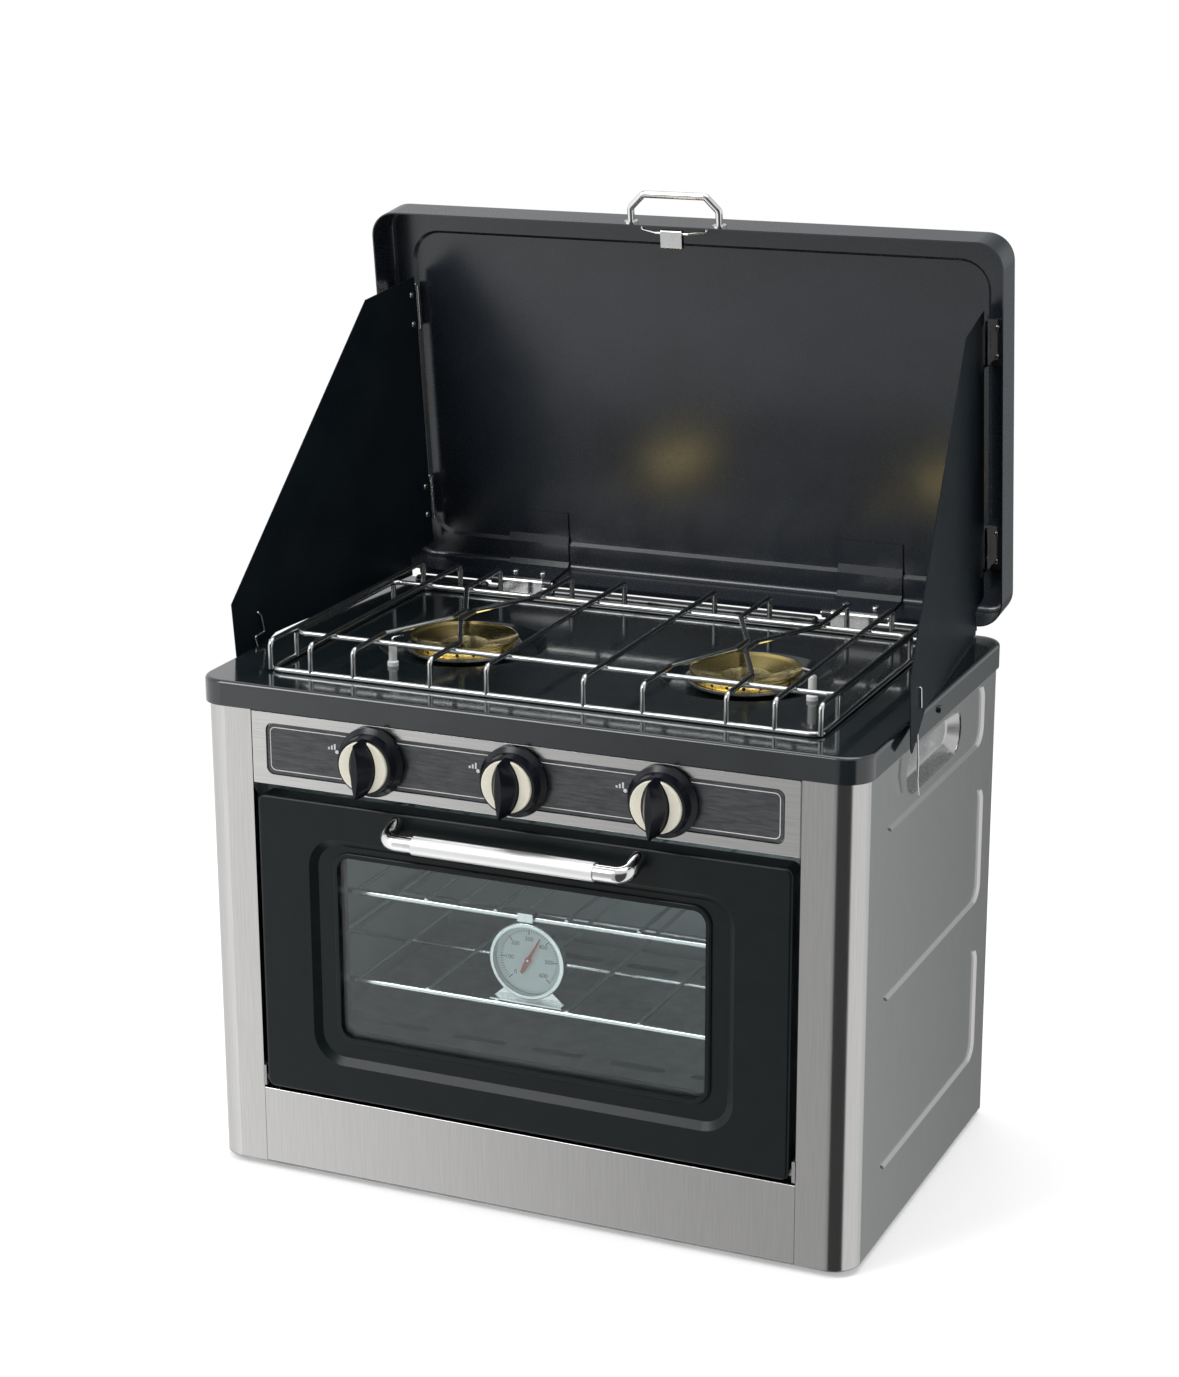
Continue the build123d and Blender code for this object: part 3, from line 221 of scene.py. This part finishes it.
# Bright metal
chrome = finish("chrome", grey(0.72), grey(0.80), METAL, (0.06, 0.14), 90)
chrome_wire = finish("chrome_wire", grey(0.62), grey(0.70), METAL, (0.16, 0.26), 120)
grate_wire = finish("grate_wire", (0.46, 0.48, 0.48), (0.54, 0.56, 0.56), METAL, (0.16, 0.24), 120)
handle_steel = finish("handle_steel", grey(0.84), grey(0.90), 0.85, (0.30, 0.38), 200, (0.05, 1, 1))
silver_cast = finish("silver_cast", grey(0.62), grey(0.74), METAL, (0.24, 0.36), 80, bump=0.06)
brass_cap = finish("brass_cap", (0.88, 0.66, 0.20), (0.98, 0.80, 0.32), METAL, (0.12, 0.20), 24)
brass = finish("brass", (0.55, 0.40, 0.16), (0.70, 0.54, 0.26), METAL, (0.22, 0.34), 60)
dial_steel = finish("dial_steel", grey(0.62), grey(0.72), METAL, (0.16, 0.26), 90)

# Enamel and print
tray_enamel = finish("tray_enamel", (0.006, 0.009, 0.010), (0.010, 0.014, 0.016), COATED, (0.10, 0.16),
                     30, bump=0.03, bump_scale=160, coat=0.6)
door_enamel = finish("door_enamel", (0.002, 0.0045, 0.005), (0.0035, 0.007, 0.008), COATED,
                     (0.28, 0.38), 60, bump=0.06, bump_scale=1500, specular=0.26)
door_inner_enamel = finish("door_inner_enamel", (0.010, 0.011, 0.012), (0.016, 0.018, 0.019), COATED,
                           (0.30, 0.42), 60)
lid_enamel = finish("lid_enamel", (0.008, 0.012, 0.018), (0.013, 0.018, 0.026), COATED, (0.22, 0.28),
                    24, bump=0.02, bump_scale=1200, specular=0.85)
shield_enamel = finish("shield_enamel", (0.005, 0.008, 0.011), (0.012, 0.017, 0.021), COATED,
                       (0.26, 0.34), 9, bump=0.02, bump_scale=1200, specular=0.05)
inlay_black = finish("inlay_black", (0.012, 0.014, 0.016), (0.050, 0.053, 0.056), COATED, (0.26, 0.40),
                     700, (0.12, 1, 1), bump=0.5, bump_scale=1300, specular=0.7)
dial_white = finish("dial_white", grey(0.92), grey(0.97), COATED, (0.4, 0.5), 60)
dial_print = finish("dial_print", grey(0.03), grey(0.05), COATED, (0.4, 0.5), 60)
needle_red = finish("needle_red", (0.55, 0.03, 0.02), (0.68, 0.06, 0.03), COATED, (0.3, 0.4), 60)
mark_white = finish("mark_white", grey(0.55), grey(0.65), COATED, (0.4, 0.5), 60)

# Moulded, fired and woven pieces, and glass
rubber = finish("rubber", grey(0.015), grey(0.03), COATED, (0.6, 0.8), 200, bump=0.2)
ceramic = finish("ceramic", (0.74, 0.75, 0.74), (0.84, 0.85, 0.84), COATED, (0.18, 0.28), 80)
knob_black = finish("knob_black", (0.003, 0.004, 0.007), (0.006, 0.007, 0.011), COATED, (0.16, 0.26),
                    60, specular=0.35)
knob_cream = finish("knob_cream", (0.66, 0.63, 0.52), (0.74, 0.71, 0.60), COATED, (0.25, 0.34), 50)
braid = finish("braid", grey(0.05), grey(0.10), COATED, (0.7, 0.9), 900, bump=0.6, bump_scale=1600)
tinted_glass = glass("tinted_glass", (0.86, 0.94, 0.94))
clear_glass = glass("clear_glass", (0.92, 0.95, 0.95))

LOOKS = {
    stainless: ("left_side_panel", "right_side_panel", "kick_plate"),
    stainless_lengthwise: ("control_fascia",),
    cup_steel: ("left_handle_cup", "right_handle_cup"),
    dull_steel: ("flame_plate", "back_panel", "base_plate", "gas_manifold", "door_hinge_arms",
                 "door_hinge_brackets"),
    liner_steel: ("oven_liner", "rack_runners"),
    chrome: ("lid_handle", "latch_rod", "lid_latch", "shield_hinge_frames", "left_shield_leaves",
             "right_shield_leaves", "lid_hinge_pins", "tray_hinge_leaves", "door_handle_brackets"),
    chrome_wire: ("upper_rack", "lower_rack", "left_wire_clip", "right_wire_clip"),
    grate_wire: ("pan_support",),
    handle_steel: ("door_handle_grip",),
    tray_enamel: ("hob_tray",),
    door_enamel: ("door_outer_panel",),
    door_inner_enamel: ("door_inner_panel",),
    lid_enamel: ("lid_shell", "lid_hinge_straps"),
    shield_enamel: ("left_wind_shield", "right_wind_shield"),
    rubber: ("rubber_feet",),
    inlay_black: ("fascia_inlay",),
    silver_cast: ("burner_bowls", "burner_tubes", "oven_burner"),
    brass_cap: ("burner_caps",),
    brass: ("gas_valves", "gas_inlet", "left_spindle", "centre_spindle", "right_spindle"),
    ceramic: ("igniters",),
    knob_black: ("left_knob_grip", "centre_knob_grip", "right_knob_grip"),
    knob_cream: ("left_knob_face", "centre_knob_face", "right_knob_face"),
    dial_steel: ("thermometer_case",),
    dial_white: ("thermometer_dial",),
    needle_red: ("thermometer_pointer",),
    clear_glass: ("thermometer_glass",),
    tinted_glass: ("door_glass",),
    braid: ("door_gasket",),
}
for material, names in LOOKS.items():
    for name in names:
        for slot in nodes[name].material_slots:
            slot.material = material


# Detail pieces
RIVET_STEPS = 18
RIVET_RINGS = 5
DOT_STEPS = 16
CORNER_STEPS = 8
WELD = 1e-7


def put(name, data):
    """New object in the scene."""
    made = bpy.data.objects.new(name, data)
    bpy.context.scene.collection.objects.link(made)
    return made


def piece(name, shape, material, body):
    """Object from a bmesh, finished, on its body."""
    data = bpy.data.meshes.new(name)
    shape.to_mesh(data)
    shape.free()
    made = put(name, data)
    data.materials.append(material)
    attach(made, body)


def lathe(shape, profile, matrix, steps):
    """Adds a turned form to a bmesh. The profile holds radius and height pairs in mm."""
    rings = []
    for radius, height in profile:
        ring = []
        count = steps if radius > 0 else 1
        for k in range(count):
            angle = math.tau * k / steps
            spot = Vector((radius * math.cos(angle), radius * math.sin(angle), height)) * MM
            ring.append(shape.verts.new(matrix @ spot))
        rings.append(ring)
    for low, high in zip(rings, rings[1:]):
        for k in range(steps):
            after = k + 1
            corners = [low[k % len(low)], low[after % len(low)]]
            corners += [high[after % len(high)], high[k % len(high)]]
            face = shape.faces.new(list(dict.fromkeys(corners)))
            face.smooth = True


def facing(spot, normal):
    """Matrix that stands Z along the normal at a spot."""
    return Matrix.Translation(spot) @ Vector(normal).to_track_quat("Z", "Y").to_matrix().to_4x4()


def screw(shape, matrix, radius):
    """Pan head with a cross recess cut into its crown, all in shares of its radius."""
    high = radius * 0.55
    crown_r = radius * 0.68
    rim = 16
    arms = 4
    width = radius * 0.16
    reach = radius * 0.55
    depth = high * 0.45
    profile = [(radius, 0.0), (radius, high * 0.35), (radius * 0.9, high * 0.75), (crown_r, high)]
    lathe(shape, profile, matrix, rim)
    crown = []
    for k in range(rim):
        angle = math.tau * k / rim
        crown.append(Vector((math.cos(angle) * crown_r, math.sin(angle) * crown_r, high)))
    cross = []
    for k in range(arms):
        turn = Matrix.Rotation(math.tau * k / arms, 3, "Z")
        for x, y in ((reach, -width), (reach, width), (width, width)):
            cross.append(turn @ Vector((x, y, high)))
    sunk = Vector((0, 0, depth))
    top = [shape.verts.new(matrix @ (spot * MM)) for spot in cross]
    floor = [shape.verts.new(matrix @ ((spot - sunk) * MM)) for spot in cross]
    count = len(cross)
    for k in range(count):
        after = (k + 1) % count
        shape.faces.new((top[k], top[after], floor[after], floor[k]))
    shape.faces.new(floor)
    outer = [shape.verts.new(matrix @ (spot * MM)) for spot in crown]
    edges = [shape.edges.new((outer[k], outer[(k + 1) % rim])) for k in range(rim)]
    edges += [shape.edges.get((top[k], top[(k + 1) % count])) for k in range(count)]
    bmesh.ops.triangle_fill(shape, use_beauty=True, edges=edges)


def screws(name, spots, radius, material, body):
    """One piece of equal screws."""
    shape = bmesh.new()
    for matrix in spots:
        screw(shape, matrix, radius)
    bmesh.ops.remove_doubles(shape, verts=shape.verts, dist=WELD)
    bmesh.ops.recalc_face_normals(shape, faces=shape.faces)
    piece(name, shape, material, body)


def rivets(name, spots, radius, material, body):
    """One piece of equal domed rivets, half as high as their radius."""
    shape = bmesh.new()
    high = radius * 0.5
    dome = [(radius, 0.0)]
    for k in range(1, RIVET_RINGS):
        angle = math.pi / 2 * k / RIVET_RINGS
        dome.append((radius * math.cos(angle), high * math.sin(angle)))
    dome.append((0.0, high))
    for matrix in spots:
        lathe(shape, dome, matrix, RIVET_STEPS)
    bmesh.ops.recalc_face_normals(shape, faces=shape.faces)
    piece(name, shape, material, body)


def tube(name, points, radius, material, body, closed=False):
    """Thin round line along points in the row frame."""
    data = bpy.data.curves.new(name, "CURVE")
    data.dimensions = "3D"
    data.bevel_depth = radius * MM
    data.bevel_resolution = 3
    spline = data.splines.new("POLY")
    spline.points.add(len(points) - 1)
    for target, spot in zip(spline.points, points):
        target.co = (*spot, 1)
    spline.use_cyclic_u = closed
    made = put(name, data)
    data.materials.append(material)
    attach(made, body)


def stadium(x, z, corner, y):
    """Points round a rectangle with rounded corners, seen from the front."""
    near_x, far_x = x[0] + corner, x[1] - corner
    near_z, far_z = z[0] + corner, z[1] - corner
    centres = ((far_x, far_z), (near_x, far_z), (near_x, near_z), (far_x, near_z))
    points = []
    for (cx, cz), start in zip(centres, (0, 90, 180, 270)):
        for k in range(CORNER_STEPS + 1):
            angle = math.radians(start + 90 * k / CORNER_STEPS)
            points.append(at(cx + corner * math.cos(angle), y, cz + corner * math.sin(angle)))
    return points


# Fascia: a fine line round the black strip
LINE_X = (-196.5, 196.5)
LINE_Z = (316.0, 348.6)
LINE_CORNER = 4.0
LINE_R = 0.35
line = stadium(LINE_X, LINE_Z, LINE_CORNER, FASCIA_Y)
tube("fascia_line", line, LINE_R, mark_white, "cabinet", True)

# Plain dots on an oval round the left of each knob. The middle one stands clear of the knob's skirt,
# the upper and the lower one lie behind it.
DOTS = 3
DOT_FROM = 110.7
DOT_STEP = 62.0
DOT_OVAL = (29.5, 15.5)
DOT_UP = 1.0
DOT_SUNK = 0.02
DOT = ((1.5, 0.0), (1.5, 0.15), (0.9, 0.2), (0.0, 0.2))
marks = bmesh.new()
for x in KNOB_X:
    for k in range(DOTS):
        angle = math.radians(DOT_FROM + DOT_STEP * k)
        z = KNOB_Z + DOT_OVAL[1] * math.sin(angle) + DOT_UP
        spot = at(x + DOT_OVAL[0] * math.cos(angle), FASCIA_Y - DOT_SUNK, z)
        lathe(marks, DOT, facing(spot, FORWARDS), DOT_STEPS)
piece("knob_marks", marks, mark_white, "cabinet")

# Beside each knob: three bars of rising height
BARS = 3
BAR_LEFT = 36.5
BAR_PITCH = 2.4
BAR_W = 1.4
BAR_H = 1.8
BAR_RISE = 1.3
BAR_UP = 4.5
BAR_OUT = 0.15
BAR_THICK = 0.1
bars = bmesh.new()
for x in KNOB_X:
    for k in range(BARS):
        left = x - BAR_LEFT + BAR_PITCH * k
        top = BAR_H + BAR_RISE * k
        corners = []
        for dx, dz in ((0, 0), (BAR_W, 0), (BAR_W, top), (0, top)):
            corners.append(bars.verts.new(at(left + dx, FASCIA_Y - BAR_OUT, KNOB_Z + BAR_UP + dz)))
        bars.faces.new(corners)
bars.normal_update()
bmesh.ops.solidify(bars, geom=bars.faces, thickness=-BAR_THICK * MM)
bmesh.ops.recalc_face_normals(bars, faces=bars.faces)
piece("heat_bars", bars, mark_white, "cabinet")

# Igniter tips: a thin wire out of each ceramic, bent towards its burner
IGNITERS = (("right", (177.0, 117.0), 113.3), ("left", (-136.5, 82.0), -113.3))
TIP_Z = 397.5
TIP_R = 0.7
TIP_RISE = 3.0
TIP_BENDS = ((1.0, 0.6), (11.0, 0.2))
for label, spot, burner in IGNITERS:
    start = Vector((*spot, TIP_Z))
    to_cap = Vector((burner - spot[0], BURNER_Y - spot[1], 0)).normalized()
    bend = start + Vector((0, 0, TIP_RISE))
    points = [start, bend]
    points += [bend + to_cap * reach + Vector((0, 0, rise)) for reach, rise in TIP_BENDS]
    tube(label + "_igniter_tip", [at(*point) for point in points], TIP_R, chrome, "cabinet")

# Screws at the lower edge of the door handle's ends
HANDLE_SCREW_X = (-78.0, 78.0)
HANDLE_SCREW_Y = -3.0
HANDLE_SCREW_Z = 275.5
HANDLE_SCREW_R = 2.6
handle_spots = [facing(at(x, HANDLE_SCREW_Y, HANDLE_SCREW_Z), FORWARDS) for x in HANDLE_SCREW_X]
screws("door_handle_screws", handle_spots, HANDLE_SCREW_R, chrome, "door")

# Screws under the front and the rear edge of the base
BASE_SCREW_X = (-200.0, -95.0, 80.0, 187.0)
BASE_SCREW_IN = 9.0
BASE_SCREW_R = 3.6
base_y = (BASE_SCREW_IN, CABINET_BACK - BASE_SCREW_IN)
base_spots = [facing(at(x, y, 0.0), DOWNWARDS) for y in base_y for x in BASE_SCREW_X]
screws("base_screws", base_spots, BASE_SCREW_R, dull_steel, "cabinet")

# Screws on the back panel
BACK_SCREW_X = (-205.0, 0.0, 205.0)
BACK_SCREW_Z = (12.0, 185.0)
BACK_SCREW_IN = 1.0
BACK_SCREW_R = 3.2
back_y = CABINET_BACK - BACK_SCREW_IN
back_spots = [facing(at(x, back_y, z), BACKWARDS) for x in BACK_SCREW_X for z in BACK_SCREW_Z]
screws("back_screws", back_spots, BACK_SCREW_R, dull_steel, "cabinet")

# Screws in the lid's hinge straps, counted from the lid's axis
STRAP_X = 140.0
STRAP_STEP = 12.0
STRAP_SCREW_Y = 14.0
STRAP_SCREW_Z = 2.5
STRAP_SCREW_R = 3.4
hinge_spots = []
for side in (-STRAP_X, STRAP_X):
    for step in (-STRAP_STEP, STRAP_STEP):
        spot = Vector((side + step, STRAP_SCREW_Y, STRAP_SCREW_Z)) * MM
        hinge_spots.append(LID @ facing(spot, UPWARDS))
screws("lid_hinge_screws", hinge_spots, STRAP_SCREW_R, chrome, "lid")

# Rivets of the shields' hinges: on each shield's sheet and on the lid's border
SHIELD_RIVET_ALONG = 9.0
SHIELD_RIVET_STEP = 12.0
SHIELD_RIVET_R = 2.4
LEAF_RIVET_X = 240.5
LEAF_RIVET_Y = 35.5
LEAF_RIVET_STEP = 11.0
LEAF_RIVET_R = 2.0
SHEET_HALF = 0.4
for side, label in SIDES:
    plane = shield_plane(side)
    spots = []
    for z in BUTT_Z:
        for step in (-SHIELD_RIVET_STEP, SHIELD_RIVET_STEP):
            spot = Vector((SHIELD_RIVET_ALONG, z + step, SHEET_HALF)) * MM
            spots.append(plane @ Matrix.Translation(spot))
    rivets(label + "_shield_rivets", spots, SHIELD_RIVET_R, chrome, label + "_shield")
    spots = []
    for z in BUTT_Z:
        for step in (-LEAF_RIVET_STEP, LEAF_RIVET_STEP):
            spot = Vector((side * LEAF_RIVET_X, LEAF_RIVET_Y, z + step)) * MM
            spots.append(LID @ facing(spot, FORWARDS))
    rivets(label + "_leaf_rivets", spots, LEAF_RIVET_R, chrome, "lid")

# Lower edge of each shield: a wedge of sheet that closes it down to the tray. Its corners hold the
# reach along the shield and the height above the lid's axis.
WEDGE = ((206.0, -3.4), (37.0, -3.0), (37.0, 14.7))
for side, label in SIDES:
    plane = shield_plane(side)
    wedge = bmesh.new()
    faces = []
    for out in (-SHEET_HALF, SHEET_HALF):
        faces.append([wedge.verts.new(plane @ on_shield(*point, out)) for point in WEDGE])
        wedge.faces.new(faces[-1])
    for k in range(len(WEDGE)):
        after = (k + 1) % len(WEDGE)
        wedge.faces.new((faces[0][k], faces[0][after], faces[1][after], faces[1][k]))
    bmesh.ops.recalc_face_normals(wedge, faces=wedge.faces)
    piece(label + "_shield_edge", wedge, shield_enamel, label + "_shield")

# Thermometer dial: ring of ticks, every ninth long
DIAL_FROM = -135
TICKS = 55
TICK_STEP = 5
LONG_EVERY = 9
TICK_OUTER = 23.0
LONG_TICK = (19.0, 0.35)
SHORT_TICK = (21.0, 0.18)
TICK_OUT = 0.05
TICK_THICK = 0.04
ticks = bmesh.new()
for k in range(TICKS):
    angle = math.radians(DIAL_FROM + TICK_STEP * k)
    inner, half = SHORT_TICK if k % LONG_EVERY else LONG_TICK
    across = Vector((math.cos(angle), 0, -math.sin(angle)))
    along = Vector((math.sin(angle), 0, math.cos(angle)))
    corners = []
    for radius, offset in ((inner, -half), (inner, half), (TICK_OUTER, half), (TICK_OUTER, -half)):
        spot = at(*DIAL) + (along * radius + across * offset + Vector((0, -TICK_OUT, 0))) * MM
        corners.append(ticks.verts.new(spot))
    ticks.faces.new(corners)
ticks.normal_update()
bmesh.ops.solidify(ticks, geom=ticks.faces, thickness=TICK_THICK * MM)
piece("dial_ticks", ticks, dial_print, "cabinet")

# Plain numbers inside the ring, one for each long tick
NUMBERS = 7
NUMBER_STEP = TICK_STEP * LONG_EVERY
NUMBER_EACH = 100
NUMBER_R = 15.6
NUMBER_SIZE = 4.6
NUMBER_THICK = 0.03
NUMBER_OUT = 0.06
for k in range(NUMBERS):
    angle = math.radians(DIAL_FROM + NUMBER_STEP * k)
    data = bpy.data.curves.new("dial_number_%d" % k, "FONT")
    data.body = str(NUMBER_EACH * k)
    data.size = NUMBER_SIZE * MM
    data.extrude = NUMBER_THICK * MM
    data.align_x = "CENTER"
    data.align_y = "CENTER"
    number = put("dial_number_%d" % k, data)
    x = DIAL[0] + NUMBER_R * math.sin(angle)
    z = DIAL[2] + NUMBER_R * math.cos(angle)
    spot = at(x, DIAL[1] - NUMBER_OUT, z)
    number.matrix_world = Matrix.Translation(spot) @ Matrix.Rotation(math.radians(90), 4, "X")
    data.materials.append(dial_print)
    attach(number, "cabinet")


# Stage: a pale floor that fades to white, distances in metres
FLOOR_NEAR = 0.45
FLOOR_FAR = 1.3
FLOOR_LIFT = 0.22
FLOOR_HALF = 30.0
FLOOR_GREY = 0.9
FLOOR_ROUGHNESS = 0.9
FLOOR_SPECULAR = 0.1
WHITE = (1, 1, 1)


def floor_finish():
    """Pale floor, lifted a little for the camera's own rays and plain white far away."""
    made = bpy.data.materials.new("floor_white")
    made.use_nodes = True
    tree = made.node_tree
    cloth = tree.nodes["Principled BSDF"]
    cloth.inputs["Base Color"].default_value = (*grey(FLOOR_GREY), 1)
    cloth.inputs["Roughness"].default_value = FLOOR_ROUGHNESS
    cloth.inputs["Specular IOR Level"].default_value = FLOOR_SPECULAR
    cloth.inputs["Emission Color"].default_value = (*WHITE, 1)
    seen = node(tree, "ShaderNodeLightPath").outputs["Is Camera Ray"]
    tree.links.new(scaled(tree, seen, FLOOR_LIFT), cloth.inputs["Emission Strength"])
    place = node(tree, "ShaderNodeTexCoord")
    away = node(tree, "ShaderNodeVectorMath", operation="LENGTH")
    tree.links.new(place.outputs["Object"], away.inputs["Vector"])
    fade = ranged(tree, away.outputs["Value"], FLOOR_NEAR, FLOOR_FAR, interpolation_type="SMOOTHSTEP")
    white = node(tree, "ShaderNodeEmission")
    blend = node(tree, "ShaderNodeMixShader")
    tree.links.new(joined(tree, "MULTIPLY", fade, seen), blend.inputs["Fac"])
    tree.links.new(cloth.outputs["BSDF"], blend.inputs[1])
    tree.links.new(white.outputs["Emission"], blend.inputs[2])
    tree.links.new(blend.outputs["Shader"], tree.nodes["Material Output"].inputs["Surface"])
    return made


floor_shape = bmesh.new()
bmesh.ops.create_grid(floor_shape, x_segments=1, y_segments=1, size=FLOOR_HALF)
floor_data = bpy.data.meshes.new("floor")
floor_shape.to_mesh(floor_data)
floor_shape.free()
floor = put("floor", floor_data)
floor_data.materials.append(floor_finish())
floor.visible_glossy = False


def lamp(name, spot, target, size, watts):
    """Soft rectangular lamp, places and sizes in metres."""
    data = bpy.data.lights.new(name, "AREA")
    data.shape = "RECTANGLE"
    data.size, data.size_y = size
    data.energy = watts
    made = put(name, data)
    made.location = spot
    made.rotation_euler = (Vector(target) - Vector(spot)).to_track_quat("-Z", "Y").to_euler()


lamp("key", (-1.6, -2.2, 2.6), (0, 0, 0.3), (1.6, 1.6), 50)
lamp("top", (0.2, 0.3, 3.0), (0, 0, 0.4), (2.4, 1.8), 35)

# Surroundings by compass direction, in degrees from the front towards the right: a bright screen to the
# left of the camera that falls off towards it, a dark gap to its right, a pale screen on the right side.
# Each holds its direction, its brightness and how blue it is.
SCREENS = ((-180, 0.12, 1), (-150, 0.60, 0), (-60, 0.90, 0), (-34, 1.0, 0), (-29, 0.80, 0),
           (-22, 0.40, 0), (-6, 0.38, 0), (-2, 0.05, 0), (52, 0.05, 0), (60, 0.75, 0), (120, 0.75, 0),
           (150, 0.60, 0.3), (158, 0.50, 0.5), (166, 0.10, 0.8), (180, 0.10, 1))
SCREEN_GAIN = 1.3
BLUE_CUT = (0.08, 0.01, 0.0)
OVERHEAD = 0.8
OVERHEAD_FROM = 0.35
OVERHEAD_FULL = 0.75


def surroundings():
    """World of screens round the object and a pale ceiling, white to the camera and through glass."""
    world = bpy.data.worlds.new("studio")
    bpy.context.scene.world = world
    world.use_nodes = True
    tree = world.node_tree
    place = node(tree, "ShaderNodeTexCoord")
    split = node(tree, "ShaderNodeSeparateXYZ")
    tree.links.new(place.outputs["Generated"], split.inputs["Vector"])
    ahead = scaled(tree, split.outputs["Y"], -1.0)
    compass = joined(tree, "ARCTAN2", split.outputs["X"], ahead)
    ramp = node(tree, "ShaderNodeValToRGB")
    stops = ramp.color_ramp.elements
    while len(stops) < len(SCREENS):
        stops.new(0.5)
    for stop, screen in zip(stops, SCREENS):
        stop.position = (screen[0] + 180) / 360
    for stop, screen in zip(stops, SCREENS):
        value, blue = screen[1:]
        stop.color = (*(value * (1 - cut * blue) for cut in BLUE_CUT), 1)
    tree.links.new(ranged(tree, compass, -math.pi, math.pi), ramp.inputs["Fac"])
    gain = node(tree, "ShaderNodeVectorMath", operation="SCALE", Scale=SCREEN_GAIN)
    tree.links.new(ramp.outputs["Color"], gain.inputs[0])
    high = ranged(tree, split.outputs["Z"], OVERHEAD_FROM, OVERHEAD_FULL, interpolation_type="SMOOTHSTEP")
    sky = mixed(tree, high, gain.outputs["Vector"], grey(OVERHEAD))
    seen = node(tree, "ShaderNodeLightPath")
    clear = joined(tree, "MAXIMUM", seen.outputs["Is Camera Ray"], seen.outputs["Is Transmission Ray"])
    background = tree.nodes["Background"]
    tree.links.new(mixed(tree, clear, sky, WHITE), background.inputs["Color"])
    background.inputs["Strength"].default_value = 1.0


surroundings()

# Camera
level = math.cos(CAMERA_PITCH)
forward = Vector((math.sin(CAMERA_YAW) * level, math.cos(CAMERA_YAW) * level, math.sin(CAMERA_PITCH)))
level_right = Vector((math.cos(CAMERA_YAW), -math.sin(CAMERA_YAW), 0))
level_up = level_right.cross(forward)
right = math.cos(CAMERA_ROLL) * level_right + math.sin(CAMERA_ROLL) * level_up
up = math.cos(CAMERA_ROLL) * level_up - math.sin(CAMERA_ROLL) * level_right
camera_turn = Matrix((right, up, -forward)).transposed().to_4x4()
camera_data = bpy.data.cameras.new("camera")
camera_data.sensor_width = SENSOR
camera_data.lens = FOCAL_PX * SENSOR / IMAGE_H
camera_data.shift_x = (IMAGE_W / 2 - AXIS_PX[0]) / IMAGE_H
camera_data.shift_y = (AXIS_PX[1] - IMAGE_H / 2) / IMAGE_H
camera_data.clip_end = 100
camera = put("camera", camera_data)
camera.matrix_world = Matrix.Translation(at(*CAMERA_AT)) @ camera_turn
bpy.context.scene.camera = camera

bpy.context.scene.view_settings.view_transform = "Standard"
